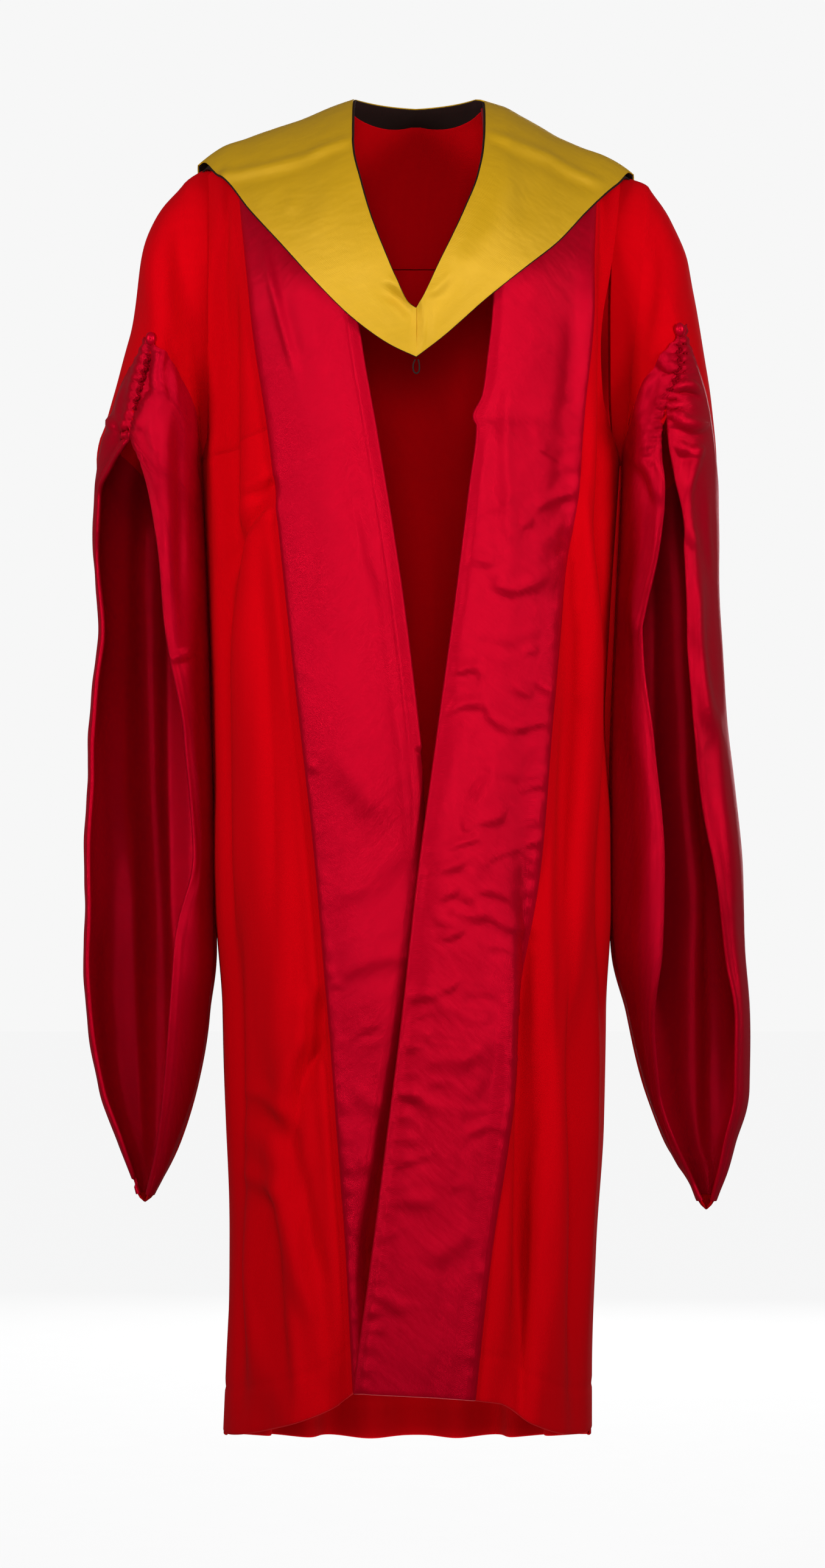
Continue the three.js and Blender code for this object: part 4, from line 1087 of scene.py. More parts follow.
def quads(index):
    """The four corners of each cell in a grid of vertex numbers."""
    corners = (index[:-1, :-1], index[1:, :-1], index[1:, 1:], index[:-1, 1:])
    return np.stack(corners, axis=-1).reshape(-1, 4)


def tube_faces(rows, sides, start=0):
    """Faces of a closed tube whose corners are numbered ring by ring: its quads and its two ends."""
    index = start + np.arange(rows * sides).reshape(rows, sides)
    around = quads(np.concatenate([index, index[:, :1]], axis=1))
    return [*around.tolist(), index[0].tolist(), index[-1, ::-1].tolist()]


def cloth(name, points, thickness, material, joined=0):
    """A panel: a grid of quads with its own flat coordinates in metres, and a wall round its middle.

    The first rows, as many as joined, share their first and last places, so a tube is closed.
    """
    rows, columns = points.shape[:2]
    corner = np.arange(rows * columns).reshape(rows, columns)
    vertex = corner.copy()
    vertex[:joined, -1] = vertex[:joined, 0]
    used, vertex = np.unique(vertex, return_inverse=True)
    vertex = vertex.reshape(rows, columns)
    flat = np.stack([lengths(points, 1), lengths(points, 0)], axis=-1).reshape(-1, 2)
    places = points.reshape(-1, 3)[used]
    uv = flat[quads(corner).ravel()]
    piece = make_object(name, places, quads(vertex).tolist(), material, uv)
    mesh = piece.data
    edge_of_corner = np.empty(len(mesh.loops), np.int32)
    mesh.loops.foreach_get("edge_index", edge_of_corner)
    rim = np.bincount(edge_of_corner, minlength=len(mesh.edges)) == 1
    mesh.attributes.new("sharp_edge", "BOOLEAN", "EDGE").data.foreach_set("value", rim)
    wall = piece.modifiers.new("wall", "SOLIDIFY")
    wall.thickness = thickness * MM
    wall.offset = 0
    return piece


class Value:
    """An output of a node that can be used in a sum: each sum adds the Math node that it needs."""

    def __init__(self, finish, socket):
        self.finish = finish
        self.socket = socket

    def maths(self, operation, *others):
        return self.finish.node("Math", {"operation": operation}, dict(enumerate([self, *others])))

    def __add__(self, other):
        return self.maths("ADD", other)

    def __sub__(self, other):
        return self.maths("SUBTRACT", other)

    def __mul__(self, other):
        return self.maths("MULTIPLY", other)

    def sine(self):
        return self.maths("SINE")

    __radd__ = __add__


class Finish:
    """A material made of nodes."""

    def __init__(self, name):
        self.material = bpy.data.materials.new(name)
        self.material.use_nodes = True
        self.tree = self.material.node_tree
        self.tree.nodes.clear()

    def node(self, kind, settings=None, sockets=None, output=0):
        node = self.tree.nodes.new("ShaderNode" + kind)
        for name, value in (settings or {}).items():
            setattr(node, name, value)
        for name, value in (sockets or {}).items():
            if isinstance(value, Value):
                self.tree.links.new(value.socket, node.inputs[name])
            else:
                node.inputs[name].default_value = value
        return Value(self, node.outputs[output])

    def place(self):
        """Distances along the cloth's weft and warp, in metres, from its own flat coordinates."""
        flat = self.node("UVMap", {"uv_map": "cloth"})
        return flat, *(self.node("SeparateXYZ", None, {0: flat}, output) for output in (0, 1))

    def noise(self, place, size, detail=3, stretch=(1, 1, 1)):
        """Soft noise from 0 to 1 whose patches are about size metres across."""
        scaled = self.node("Mapping", None, {"Vector": place, "Scale": [s / size for s in stretch]})
        return self.node("TexNoise", None, {"Vector": scaled, "Scale": 1, "Detail": detail})

    def mixed(self, share, start, end):
        """A colour between two colours or links."""
        return self.node("Mix", {"data_type": "RGBA"}, {0: share, 6: start, 7: end}, 2)

    def surface(self, colour, roughness, height, depth, **fixed):
        """The shader and its output: height, in the cloth's plane, lifts the surface by up to depth."""
        bump = self.node("Bump", None, {"Strength": 1, "Distance": depth, "Height": height})
        sockets = {"Base Color": colour, "Roughness": roughness, "Normal": bump}
        sockets.update({name.replace("_", " "): value for name, value in fixed.items()})
        shader = self.node("BsdfPrincipled", None, sockets)
        output = self.tree.nodes.new("ShaderNodeOutputMaterial")
        self.tree.links.new(shader.socket, output.inputs["Surface"])
        return self.material


def tone(colour, factor):
    """A colour made lighter or darker by a factor."""
    return [*(min(c * factor, 1) for c in colour[:3]), 1]


SCARLET = (0.62, 0.0, 0.004, 1)
CRIMSON = (0.46, 0.0, 0.012, 1)
GOLD = (0.66, 0.36, 0.002, 1)
DARK = (0.022, 0.011, 0.009, 1)


# Spacings of ribs, yarns and threads, in metres
TWILL_RIB = 0.0011
TWILL_YARN = 0.0016
SILK_RIB = 0.0008
SILK_THREAD = 0.0005


def twill_cloth(name, colour, sheen_tint):
    """Wool-like twill: fine diagonal ribs, a little fuzz, and slow changes of tone across the piece."""
    finish = Finish(name)
    flat, weft, warp = finish.place()
    rib = ((weft + warp) * (2 * math.pi / TWILL_RIB)).sine()
    yarn = ((weft - warp) * (2 * math.pi / TWILL_YARN)).sine()
    fuzz = finish.noise(flat, 0.0009, 4)
    slow = finish.noise(flat, 0.16, 3, (1, 0.4, 1))
    streak = finish.noise(flat, 0.006, 2, (1, 0.05, 1))
    height = rib * 0.32 + yarn * 0.1 + fuzz * 0.9 + streak * 0.3
    shade = slow * 0.55 + streak * 0.25 + fuzz * 0.2
    base = finish.mixed(shade, tone(colour, 0.8), tone(colour, 1.16))
    return finish.surface(
        base, 0.82 + fuzz * 0.1, height, 0.00012,
        Specular_IOR_Level=0.12, Specular_Tint=sheen_tint,
        Sheen_Weight=0.04, Sheen_Roughness=0.5, Sheen_Tint=sheen_tint,
    )


def silk_cloth(name, colour, roughness, metallic, tint, gloss):
    """Silk: crosswise ribs too fine to count, slubs along the weft, soft watery changes of gloss, and
    painted shade that darkens the hollows of its fine crumples.
    """
    finish = Finish(name)
    flat, weft, warp = finish.place()
    rib = (warp * (2 * math.pi / SILK_RIB)).sine()
    thread = (weft * (2 * math.pi / SILK_THREAD)).sine()
    slub = finish.noise(flat, 0.012, 3, (1, 14, 1))
    crumple = finish.noise(flat, 0.03, 2, (1, 1.6, 1))
    slow = finish.noise(flat, 0.11, 3, (1, 0.6, 1))
    height = rib * 0.05 + thread * 0.03 + slub * 0.12 + crumple * 1.6
    # The colour mixes the silk's own slow and slub tone with painted shade: lighter on the crumples'
    # rises, darker in their hollows.
    shade = slow * 0.5 + slub * 0.3 + crumple * 0.2
    base = finish.mixed(shade, tone(colour, 0.85), tone(colour, 1.15))
    return finish.surface(
        base, roughness + (slow - 0.5) * 0.12 + (slub - 0.5) * 0.1, height, 0.0006,
        Metallic=metallic, Specular_IOR_Level=gloss, Specular_Tint=tint,
    )


def thread_finish(name, colour, roughness):
    """Thread or cord: fine fibres and a soft worn tone, both read from the place on the piece."""
    finish = Finish(name)
    place = finish.node("TexCoord", None, None, 3)
    fibre = finish.noise(place, 0.0006, 3)
    slow = finish.noise(place, 0.01, 2)
    base = finish.mixed(fibre * 0.6 + slow * 0.4, tone(colour, 0.7), tone(colour, 1.3))
    return finish.surface(
        base, roughness + fibre * 0.15, fibre, 0.00012,
        Specular_IOR_Level=0.3, Specular_Tint=tone(colour, 2),
    )


scarlet_wool = twill_cloth("scarlet_wool", SCARLET, (1, 0.1, 0.08, 1))
crimson_silk = silk_cloth("crimson_silk", CRIMSON, 0.35, 0.38, (1, 0.06, 0.14, 1), 0.4)
gold_satin = silk_cloth("gold_satin", GOLD, 0.48, 0.25, (1, 0.95, 0.6, 1), 0.7)
dark_wool = twill_cloth("dark_wool", DARK, (0.6, 0.4, 0.4, 1))
crimson_thread = thread_finish("crimson_thread", (0.24, 0.0, 0.006, 1), 0.6)
scarlet_thread = thread_finish("scarlet_thread", (0.5, 0.0, 0.006, 1), 0.6)
dark_cord = thread_finish("dark_cord", (0.035, 0.022, 0.02, 1), 0.5)


STITCH_PITCH = 6.2
STITCH_LENGTH = 1.5
STITCH_THICKNESS = 0.42
STITCH = table(
    "along width rise",
    (-0.5, 0.35, -0.5),
    (-0.3, 0.9, 0.1),
    (0, 1, 0.3),
    (0.3, 0.9, 0.1),
    (0.5, 0.35, -0.5),
)
STITCH_SIDES = 5


def stitches(name, line, normals, material):
    """A row of stitches along a line on the cloth: each a short rounded bar that dips at its ends."""
    distance = lengths(line, 0)
    middles = np.arange(STITCH_PITCH, distance[-1] - STITCH_PITCH / 2, STITCH_PITCH)

    def at(places, rows):
        return np.stack([np.interp(places, distance, rows[:, axis]) for axis in range(3)], 1)

    middle = at(middles, line)
    ahead = unit(at(middles + 0.5, line) - middle)
    up = unit(at(middles, normals))
    aside = np.cross(ahead, up)
    stations = STITCH["along"] * STITCH_LENGTH
    width = (STITCH["width"] * STITCH_THICKNESS / 2)[:, None]
    rise = (STITCH["rise"] * STITCH_THICKNESS)[:, None]
    turn = 2 * math.pi * np.arange(STITCH_SIDES) / STITCH_SIDES
    places = (
        middle[:, None, None]
        + stations[None, :, None, None] * ahead[:, None, None]
        + (width * np.cos(turn))[None, ..., None] * aside[:, None, None]
        + (width * np.sin(turn) + rise)[None, ..., None] * up[:, None, None]
    )
    rows = len(stations)
    faces = []
    for number in range(len(middles)):
        faces += tube_faces(rows, STITCH_SIDES, number * rows * STITCH_SIDES)
    return make_object(name, places.reshape(-1, 3), faces, material)


def through(points, count):
    """A smooth line through a few points: each stretch is a Catmull-Rom cubic."""
    points = np.asarray(points, float)
    last = len(points) - 1
    place = np.linspace(0, last, count)
    i = np.minimum(place.astype(int), last - 1)
    t = (place - i)[:, None]
    before, start, end, after = (points[np.clip(i + step, 0, last)] for step in (-1, 0, 1, 2))
    slope_in, slope_out = (end - before) / 2, (after - start) / 2
    curve = start + t * slope_in + t ** 2 * (3 * (end - start) - 2 * slope_in - slope_out)
    return curve + t ** 3 * (2 * (start - end) + slope_in + slope_out)


ROPE_PLIES = 2
ROPE_SIDES = 8
ROPE_END_SHARE = 0.05
PLY_SHARE = 0.56


def rope(name, line, radius, lay, material):
    """A laid cord: each ply is a round tube whose middle winds round the line once in every lay."""
    ahead = unit(np.gradient(line, axis=0))
    aside = unit(np.cross(ahead, (0, 1, 0)))
    over = np.cross(aside, ahead)
    distance = lengths(line, 0)
    turn = 2 * math.pi * np.arange(ROPE_SIDES) / ROPE_SIDES
    from_end = np.minimum(distance, distance[-1] - distance)
    ends = np.sin(np.clip(from_end / radius, ROPE_END_SHARE, 1) * math.pi / 2)
    ply_radius = radius * PLY_SHARE
    out = radius - ply_radius
    ring = np.cos(turn)[None, :, None] * aside[:, None] + np.sin(turn)[None, :, None] * over[:, None]
    places, faces = [], []
    for ply in range(ROPE_PLIES):
        wind = 2 * math.pi * (distance / lay + ply / ROPE_PLIES)
        middle = line + out * (np.cos(wind)[:, None] * aside + np.sin(wind)[:, None] * over)
        places.append((middle[:, None] + (ply_radius * ends)[:, None, None] * ring).reshape(-1, 3))
        faces += tube_faces(len(line), ROPE_SIDES, ply * len(line) * ROPE_SIDES)
    return make_object(name, np.concatenate(places), faces, material)


BUTTON_ROWS = 14
BUTTON_SIDES = 72
BUTTON_RADIUS = 5.4
BUTTON_WIDTH_SHARE = 0.86
BUTTON_HEIGHT_SHARE = 1.15
BUTTON_DOME = 3.6
BUTTON_BACK = 1.6
BUTTON_RIM = 1.2
BUTTON_TUCK = 0.86
BUTTON_PLEATS = 18
PLEAT_DEPTH = 0.035


def covered_button(name, centre, material):
    """A cloth-covered button: a dome turned about the front-back line, gathered into pleats at its rim.

    Radius and height follow the cosine and the sine of a quarter turn from the rim to the middle, and
    the radius ripples with the angle round the button, most at the rim.
    """
    up = np.linspace(0, 1, BUTTON_ROWS)[:, None]
    turn = np.linspace(0, 2 * math.pi, BUTTON_SIDES + 1)[None, :-1]
    lean = up * math.pi / 2
    pleat = 1 + PLEAT_DEPTH * np.cos(BUTTON_PLEATS * turn) * (1 - up) ** 1.5
    radius = BUTTON_RADIUS * np.cos(lean) ** 0.8 * pleat
    tuck = np.where(up == 0, BUTTON_TUCK, 1)
    x = centre[0] + BUTTON_WIDTH_SHARE * radius * tuck * np.cos(turn)
    z = centre[2] + BUTTON_HEIGHT_SHARE * radius * tuck * np.sin(turn)
    rim = np.where(up == 0, 0, BUTTON_RIM)
    y = centre[1] + BUTTON_BACK - rim - BUTTON_DOME * np.sin(lean) + 0 * turn
    points = stack(x, y, z)
    return make_object(name, points.reshape(-1, 3), tube_faces(*points.shape[:2]), material)


def put(piece, node):
    """The piece stands for its node and rides with the gown."""
    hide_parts(node)
    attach(piece, "root")
    return piece


def trim(piece):
    """A piece that stands for no node: it rides with the gown."""
    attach(piece, "root")
    return piece


def hem_line(points):
    """The faint dip that the hem's stitches draw in, at their height above a grid's last row."""
    above = lengths(points[::-1], 0)[::-1]
    return HEM_DIP * np.exp(-(((above - HEM_STITCH_ABOVE) / HEM_DIP_WIDTH) ** 2))


def level_line(points, height):
    """The places at one distance above a grid's last row, with the normals there."""
    above = lengths(points[::-1], 0)
    row = (above < height).sum(axis=0)
    columns = np.arange(len(row))
    low, high = above[row - 1, columns], above[row, columns]
    share = ((height - low) / (high - low))[:, None]
    line = lerp(points[::-1][row - 1, columns], points[::-1][row, columns], share)
    return line, normals_of(points)[::-1][row, columns]


def x_of(points):
    return points[..., 0]


def z_of(points):
    return points[..., 2]


# Hems: how much is turned up, the radius of the turn, and the dip that the stitches draw in
HEM_TURN = 42
HEM_FOLD = 1.15
HEM_STITCH_ABOVE = 39
HEM_DIP = -0.9
HEM_DIP_WIDTH = 3

# Kinds of panel: the ending of its piece's name, its thickness, its finish and its slot
SCARLET_PANEL = ("cloth", WOOL, scarlet_wool, "scarlet_cloth")
CRIMSON_PANEL = ("silk", SILK, crimson_silk, "crimson_silk")
DARK_PANEL = ("cloth", SILK, dark_wool, "dark_cloth")
GOLD_PANEL = ("cloth", SILK, gold_satin, "gold_satin")
sheets = {}


def panel(node, points, kind, joined=0):
    """A panel of cloth of one kind that stands for its node, kept among the sheets."""
    ending, thickness, finish, slot = kind
    piece = put(cloth(f"{node}_{ending}", points, thickness, finish, joined), node)
    sheets[node] = (piece, [])


def hem_stitches(node, name, line, normals):
    """A row of stitches along a panel's hem, which goes with that panel."""
    row = trim(stitches(name, line, normals, scarlet_thread))
    sheets[node][1].append(row)


# The back, in two panels, with the hem turned up inside
BACK_COLUMNS = 210
BACK_ROWS = 150
DENSER_ABOVE = 1.05
YOKE_GATHERS = 46
YOKE_GATHER_DEPTH = 1.3
YOKE_GATHER_REACH = 26
BACK_CALM = (0, 14)

yoke = back_points(np.linspace(0, 1, 130), np.linspace(0, 1, 26), low_z=YOKE_Z)
lift = seam_roll(z_of(yoke) - YOKE_Z) + ripple(x_of(yoke), z_of(yoke), *RIPPLES["back_yoke"])
yoke = raised(yoke, lift)
panel("back_yoke", yoke, SCARLET_PANEL)

across = np.linspace(0, 1, BACK_COLUMNS)
back = back_points(across, np.linspace(0, 1, BACK_ROWS) ** DENSER_ABOVE, top_z=YOKE_Z - 2 * SEAM_GAP)
below_yoke = YOKE_Z - z_of(back)
waves = YOKE_GATHER_DEPTH * np.cos(2 * math.pi * YOKE_GATHERS * across)
from_side = from_ends(back)
lift = seam_roll(below_yoke) + waves * np.exp(-below_yoke / YOKE_GATHER_REACH)
lift = lift + ripple(x_of(back), z_of(back), *RIPPLES["back"])
lift = lift * smoothstep(from_side, *BACK_CALM) + seam_roll(from_side) + hem_line(back)
back = raised(back, lift)
panel("back", folded(back, "low", HEM_FOLD, HEM_TURN), SCARLET_PANEL)
hem_stitches("back", "back_hem_stitches", *level_line(back, HEM_STITCH_ABOVE))

# The fronts and their facings
DIP_AT_FACING = {"left": 5, "right": 2}
DIP_AT_NECK = 1.2
DIP_GROWS = (250, 800)
DIP_WIDTH = 4
FRONT_CALM = (1, 12)
# Columns of each front beyond its facing, where the hem's stitches are seen
SHOWN_HEM = {"left": slice(0, 57), "right": slice(31, None)}
FACING_ROOM = 0.9
FACING_TURN_IN = 9
FACING_TURN_UP = 12
OVER_SEAM = (-0.6, 2.6)
CREASED_FROM = (0.5, 7)
FRONT_DOWN = np.concatenate([np.linspace(0, 1, 51)[:-1], np.linspace(1, 2, 261)])
FRONT_ACROSS = np.concatenate([np.linspace(0, 1, 32)[:-1], np.linspace(1, 2, 58)])


def front_relief(name, x, z):
    """A front's creases and slow ripple, calm where the sleeve presses, and the dip at its facing."""
    lift = creases(FRONT_CREASES[name], x, z) + ripple(x, z, *RIPPLES["front_" + name])
    beside = np.abs(x) - np.abs(read(FACING[name], "z", z, "seam")) - DIP_WIDTH
    dip = lerp(DIP_AT_NECK, DIP_AT_FACING[name], smoothstep(-z, *DIP_GROWS))
    lift = lift * smoothstep(read(BODY, "z", z, name) - np.abs(x), *FRONT_CALM)
    return lift - dip * np.exp(-((beside / DIP_WIDTH) ** 2))


def facing_relief(name, side, x, z):
    """Pressed creases, puckers along both edges and fine crumples of a facing."""
    facing = FACING[name]
    lift = creases(FACING_CREASES[name], x, z)
    for row in PUCKERS[name]:
        lift = lift + creases(pucker_rows(facing, side, *row), x, z)
    for row in STREWN[name]:
        lift = lift + creases(scattered(facing, side, *row), x, z)
    for row in CRUMPLES[name]:
        lift = lift + ripple(x, z, *row)
    return lift


for side in (-1, 1):
    name = side_name(side)
    front = front_points(side, FRONT_ACROSS, FRONT_DOWN)
    relief = front_relief(name, x_of(front), z_of(front))
    front = raised(front, relief + seam_roll(from_outside(front, side)) + hem_line(front))
    panel("front_" + name, folded(front, "low", HEM_FOLD, HEM_TURN), SCARLET_PANEL)
    line, up = level_line(front, HEM_STITCH_ABOVE)
    shown = SHOWN_HEM[name]
    hem_stitches("front_" + name, "front_hem_stitches_" + name, line[shown], up[shown])

    strip = front_points(side, np.linspace(0, 1, 56), FRONT_DOWN)
    x, z = x_of(strip), z_of(strip)
    strip = raised(strip, front_relief(name, x, z))
    from_edge = from_ends(strip)
    room = FACING_ROOM * smoothstep(from_edge, 0, FACING_TURN_IN)
    creased = facing_relief(name, side, x, z) * smoothstep(from_edge, *CREASED_FROM)
    pressed = np.maximum(creased, -room)
    over_seam = ON_TOP * smoothstep(from_outside(strip, side), *OVER_SEAM)
    silk = raised(strip, over_seam + room + pressed)
    silk = folded(silk, "last" if side < 0 else "first", ON_TOP, FACING_TURN_IN)
    silk = folded(silk, "low", HEM_FOLD, FACING_TURN_UP)
    panel("facing_" + name, silk, CRIMSON_PANEL)


# The sleeves. The gathers that the cord draws in begin and end over two pairs of rings.
GATHER_BEGINS = (GATHER_RING - 0.4, GATHER_RING + 0.3)
GATHER_ENDS = (6, 6.7)
GATHER_SPACING = 8.5
GATHER_DEPTH = 1.5
GATHER_REACH = 15
CREASE_GAIN = 1.7
FRONT_SIDE = (-40, 20)
APART_BY = (1, 12)
APART_BELOW_Z = -780
SLEEVE_STEP = 5.5
TRIM_STEP = 2.8
RING_REACH = 18
LEAST_STEPS = 4
CALM_AT_TIP = (SLEEVE_RINGS - 1.6, SLEEVE_RINGS - 0.5)


def ring_rows(name, first, last, step):
    """Ring numbers so that rows lie about step apart, with every whole ring among them."""
    rings = RINGS[name]
    stops = [np.array([first])]
    for ring in range(first, last):
        row = max(ring - 1, 0)
        fall = math.hypot(rings["outerZ"][row + 1] - rings["outerZ"][row], RING_REACH)
        stops.append(np.linspace(ring, ring + 1, max(int(fall / step), LEAST_STEPS) + 1)[1:])
    return np.concatenate(stops)


def sleeve_relief(name, points, rings):
    """A sleeve's creases, slow ripple, and the gathers that the cord draws in across its line."""
    x, z = x_of(points), z_of(points)
    drawn = smoothstep(rings, *GATHER_BEGINS) * (1 - smoothstep(rings, *GATHER_ENDS))
    fade = np.exp(-((from_ends(points) / GATHER_REACH) ** 2)) * drawn[:, None]
    gathers = GATHER_DEPTH * np.sin(2 * math.pi * z / GATHER_SPACING) * fade
    front_side = smoothstep(MIDDLE_Y - points[..., 1], *FRONT_SIDE)
    pressed = CREASE_GAIN * creases(SLEEVE_CREASES[name], x, z) * front_side
    behind = creases(SLEEVE_BACK_FOLDS[name], x, z) * (1 - front_side)
    from_body = np.abs(x) - read(BODY, "z", z, name) - side_bulge(z)
    apart = np.maximum(smoothstep(from_body, *APART_BY), z < APART_BELOW_Z)
    calm = 1 - smoothstep(rings, *CALM_AT_TIP)[:, None]
    slow = ripple(x, z, *RIPPLES["sleeve_" + name])
    return (pressed + behind + slow) * apart * calm + gathers


def on_gather_line(side, rings):
    """Places just in front of a sleeve's gathered line, where the two edges of the slit are one."""
    edges = sleeve_points(side, rings, np.array([0.0, 3.0]))[:, 1 if side > 0 else 0]
    return edges - np.array([0, ON_TOP + SILK / 2 + CORD_IN_FRONT, 0])


SLEEVE_ACROSS = np.concatenate([
    np.linspace(0, 1, 13)[:-1],
    np.linspace(1, 2, 80)[:-1],
    np.linspace(2, 3, 13),
])
LINING_START = SLIT_RING + 0.5
LINING_END = SLEEVE_RINGS - 0.5
TRIM_COLUMNS = 36
TRIM_ACROSS = np.concatenate([np.linspace(0, 1, TRIM_COLUMNS), [1.5], np.linspace(2, 3, TRIM_COLUMNS)])
TRIM_END = SLEEVE_RINGS - 0.4
TRIM_CALM = (SLEEVE_RINGS - 1.4, TRIM_END)
TRIM_ROOM = 1.2
TRIM_ROOM_GROWS = (0, 8)
TRIM_CREASED_FROM = (0.5, 6)
CORD_START = GATHER_RING + 0.3
CORD_RADIUS = 1.9
CORD_LAY = 6.5
CORD_SWAY = 1.8
CORD_IN_FRONT = 2.6
BUTTON_ABOVE = 2

for side in (-1, 1):
    name = side_name(side)
    rings = ring_rows(name, 0, SLEEVE_RINGS, SLEEVE_STEP)
    joined = int((rings <= SLIT_RING).sum())
    tube = sleeve_points(side, rings, SLEEVE_ACROSS)
    relief = sleeve_relief(name, tube, rings)
    sleeve = raised(tube, relief + seam_roll(lengths(tube, 0)), joined)
    panel("sleeve_" + name, sleeve, SCARLET_PANEL, joined)
    lined = (rings >= LINING_START) & (rings <= LINING_END)
    panel("sleeve_lining_" + name, raised(tube, relief - ON_TOP, joined)[lined], CRIMSON_PANEL)

    trim_rings = ring_rows(name, GATHER_RING, SLEEVE_RINGS, TRIM_STEP)
    trim_rings = trim_rings[trim_rings < TRIM_END]
    tube = sleeve_points(side, trim_rings, TRIM_ACROSS)
    tube = raised(tube, sleeve_relief(name, tube, trim_rings))
    for part in ("outer", "inner"):
        first = (part == "outer") == (side > 0)
        layer = tube[:, :TRIM_COLUMNS] if first else tube[:, -TRIM_COLUMNS:]
        from_edge = from_ends(layer)
        room = TRIM_ROOM * smoothstep(from_edge, *TRIM_ROOM_GROWS)
        x, z = x_of(layer), z_of(layer)
        crumple = creases(TURNBACK_CREASES[name], x, z) + ripple(x, z, *RIPPLES["turnback_" + name])
        crumple = np.maximum(crumple * smoothstep(from_edge, *TRIM_CREASED_FROM), -room)
        crumple = crumple * (1 - smoothstep(trim_rings, *TRIM_CALM)[:, None])
        lobe = raised(layer, ON_TOP + room + crumple)
        lobe = folded(lobe, "first" if first else "last", ON_TOP, 0)
        panel(f"sleeve_turnback_{part}_{name}", lobe, CRIMSON_PANEL)

    line = on_gather_line(side, np.linspace(CORD_START, CORD_END[name], 90))
    line[:, 0] += CORD_SWAY * np.sin(2 * math.pi * line[:, 2] / GATHER_SPACING)
    cord = rope("gather_cord_" + name + "_laid", line, CORD_RADIUS, CORD_LAY, crimson_thread)
    put(cord, "gather_cord_" + name)
    centre = on_gather_line(side, np.array([float(GATHER_RING)]))[0] + np.array([0, 0, BUTTON_ABOVE])
    button = covered_button("button_" + name + "_covered", centre, crimson_silk)
    put(button, "button_" + name)


# The hood
HOOD_SHOWS_BY = 0.014
HOOD_LAYERS = (("shell", DARK_PANEL, 0, HOOD_SHOWS_BY), ("lining", GOLD_PANEL, HOOD_LAYER, 0))
MIDDLE_SEAM_END_Z = -250
MIDDLE_SEAM_DEPTH = 1.6
MIDDLE_SEAM_WIDTH = 3
TIP_DROOP = 8
DROOP_ACROSS = (0.8, 1)
DROOP_ALONG = (0.03, 0.16)
HOOD_BACK_CALM = (0, 14)


def hood_lift(name, points):
    """Creases of the hood's front, the middle seam drawn in, and a slight ripple of the satin."""
    x, z = x_of(points), z_of(points)
    middle = seam_roll(np.abs(x), MIDDLE_SEAM_DEPTH, MIDDLE_SEAM_WIDTH) * (z > MIDDLE_SEAM_END_Z)
    return creases(HOOD_CREASES[name], x, z) + middle + ripple(x, z, *RIPPLES["hood_front"])


for side in (-1, 1):
    name = side_name(side)
    along = np.linspace(0, 1, 86)
    for layer, kind, offset, shows in HOOD_LAYERS:
        stops = np.linspace(-shows, 1 + shows, 54)
        part = hood_front_points(side, stops, along)
        part = raised(part, hood_lift(name, part) + offset)
        if layer == "shell":
            reach = stops if side > 0 else stops[::-1]
            droop = smoothstep(reach, *DROOP_ACROSS) * (1 - smoothstep(along, *DROOP_ALONG))[:, None]
            part[..., 2] -= TIP_DROOP * droop
        panel(f"hood_{layer}_{name}", part, kind)

half = np.sin(np.linspace(0, math.pi / 2, 64))
hood_across = np.concatenate([half[::-1], -half[1:]])
for layer, kind, offset, shows in HOOD_LAYERS:
    part = hood_back_points(hood_across, np.linspace(0, 1 + shows, 60))
    x, z = x_of(part), z_of(part)
    lift = creases(HOOD_BACK_CREASES, x, z) + ripple(x, z, *RIPPLES["hood_back"])
    part = raised(part, lift * smoothstep(lengths(part, 0), *HOOD_BACK_CALM) + offset)
    panel(f"hood_{layer}_back", part, kind)

LOOP_TOP_Z = -216.6
LOOP_RADIUS = 0.8
LOOP_LAY = 2.6
LOOP = table(
    "x down",
    (-0.6, 0),
    (-2.4, 5),
    (-2, 10.5),
    (0.4, 12.6),
    (2.8, 10.5),
    (3, 5),
    (2, 0),
)
loop_y = face_y(0, LOOP_TOP_Z, True, HOOD_LIFT)
loop_line = through(stack(LOOP["x"], loop_y, LOOP_TOP_Z - LOOP["down"]), 120)
put(rope("hood_loop_laid", loop_line, LOOP_RADIUS, LOOP_LAY, dark_cord), "hood_loop")

# Camera, light and floor
camera = bpy.data.objects.new("camera", bpy.data.cameras.new("camera"))
bpy.context.scene.collection.objects.link(camera)
camera.location = CAMERA_PLACE
camera.rotation_euler = (math.radians(90), 0, 0)
camera.data.sensor_fit = "VERTICAL"
camera.data.sensor_height = SENSOR_HEIGHT
camera.data.lens = CAMERA_LENS
bpy.context.scene.camera = camera


def soft_light(name, place, aim, size, power, spread=180):
    """A large square softbox at place, turned towards aim, with its light kept to an angle of spread."""
    data = bpy.data.lights.new(name, "AREA")
    data.size = size
    data.energy = power
    data.spread = math.radians(spread)
    lamp = bpy.data.objects.new(name, data)
    lamp.visible_camera = False
    bpy.context.scene.collection.objects.link(lamp)
    lamp.location = place
    away = np.array(place) - np.array(aim)
    lamp.rotation_euler = (
        math.acos(away[2] / np.linalg.norm(away)), 0, math.atan2(away[1], away[0]) + math.pi / 2
    )


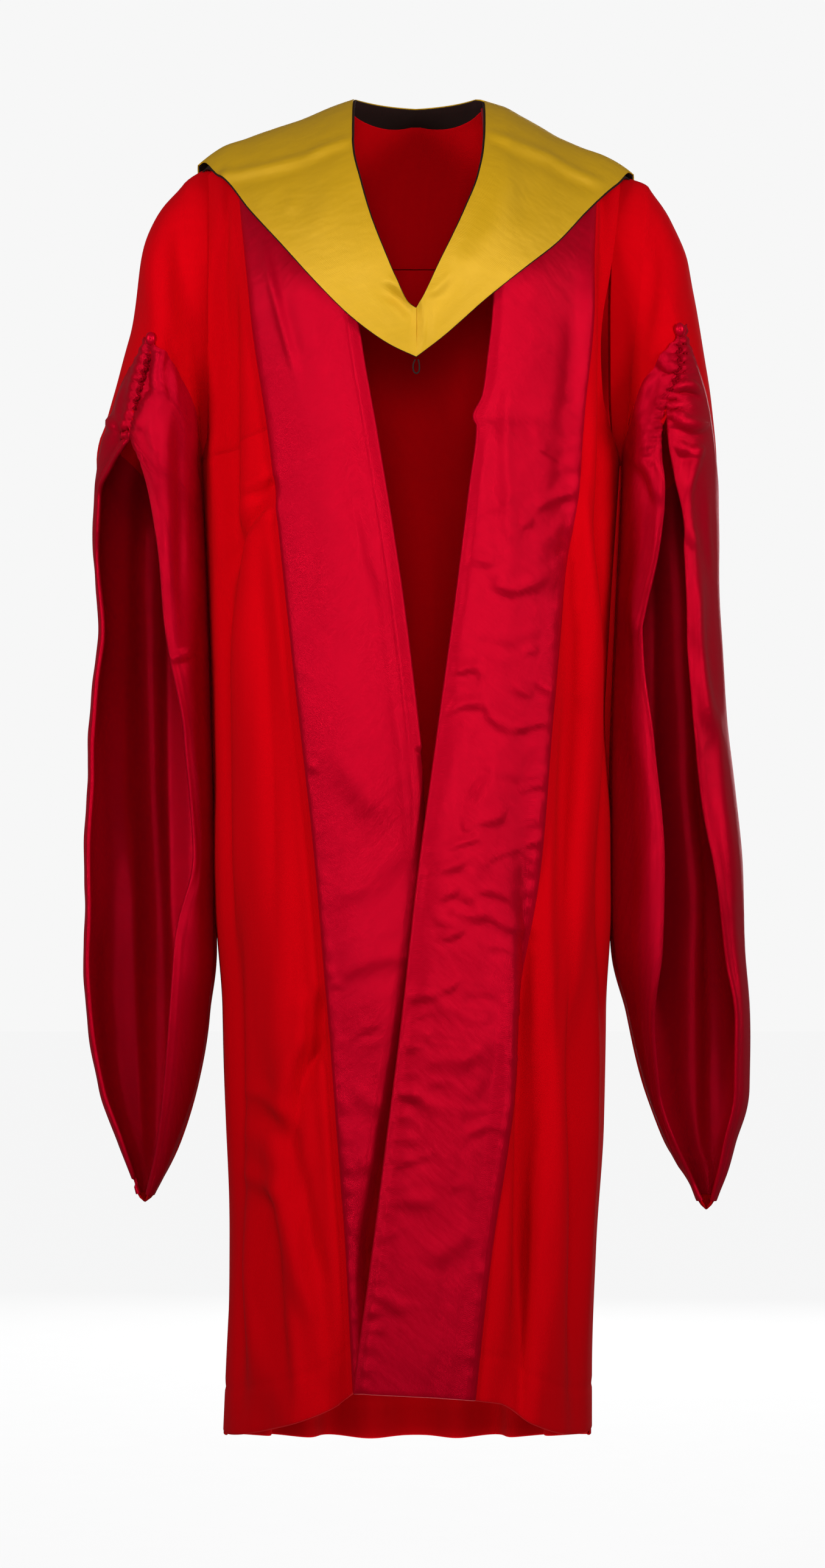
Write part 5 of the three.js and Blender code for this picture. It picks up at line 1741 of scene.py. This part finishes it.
soft_light("left", (-1.7, -1.8, 0.2), (0, 0, -0.2), 0.7, 7.8, 90)
soft_light("right", (1.7, -1.8, 0.2), (0, 0, -0.2), 0.7, 8.1, 90)
soft_light("front", (0, -3.8, 0), (0, 0, -0.3), 0.9, 8.4, 90)
soft_light("rear", (0.3, 3.2, 0.1), (0, 0, -0.45), 2.0, 50)
soft_light("below", (0, 0.02, -1.38), (0, 0.02, -0.9), 0.25, 0.35, 100)

world = bpy.data.worlds.new("studio")
bpy.context.scene.world = world
world.use_nodes = True
studio = world.node_tree
studio.nodes.clear()
seen = studio.nodes.new("ShaderNodeLightPath").outputs["Is Camera Ray"]
backdrop = studio.nodes.new("ShaderNodeBackground")
backdrop.inputs["Color"].default_value = (0.93, 0.93, 0.93, 1)
room_light = studio.nodes.new("ShaderNodeBackground")
room_light.inputs["Color"].default_value = (0.9, 0.93, 1, 1)
room_light.inputs["Strength"].default_value = 0.15
either = studio.nodes.new("ShaderNodeMixShader")
sky = studio.nodes.new("ShaderNodeOutputWorld")
studio.links.new(seen, either.inputs[0])
studio.links.new(room_light.outputs[0], either.inputs[1])
studio.links.new(backdrop.outputs[0], either.inputs[2])
studio.links.new(either.outputs[0], sky.inputs["Surface"])
bpy.context.scene.view_settings.view_transform = "Standard"

pale = Finish("pale_floor")
speck = pale.noise(pale.node("TexCoord", None, None, 3), 0.05, 3)
grey = pale.mixed(speck, (0.1, 0.1, 0.1, 1), (0.12, 0.12, 0.12, 1))
ground = bpy.data.meshes.new("floor")
corners = ((-1, -1), (1, -1), (1, 1), (-1, 1))
ground.from_pydata([(x * FLOOR_REACH, y * FLOOR_REACH, FLOOR_Z) for x, y in corners], [], [(0, 1, 2, 3)])
ground.materials.append(pale.surface(
    grey, 0.9, speck, 0.0001,
    Specular_IOR_Level=0.0, Emission_Color=(0.9, 0.9, 0.9, 1), Emission_Strength=1.0,
))
floor = bpy.data.objects.new("floor", ground)
bpy.context.scene.collection.objects.link(floor)
floor.visible_diffuse = False
floor.visible_glossy = False

bpy.context.view_layer.update()
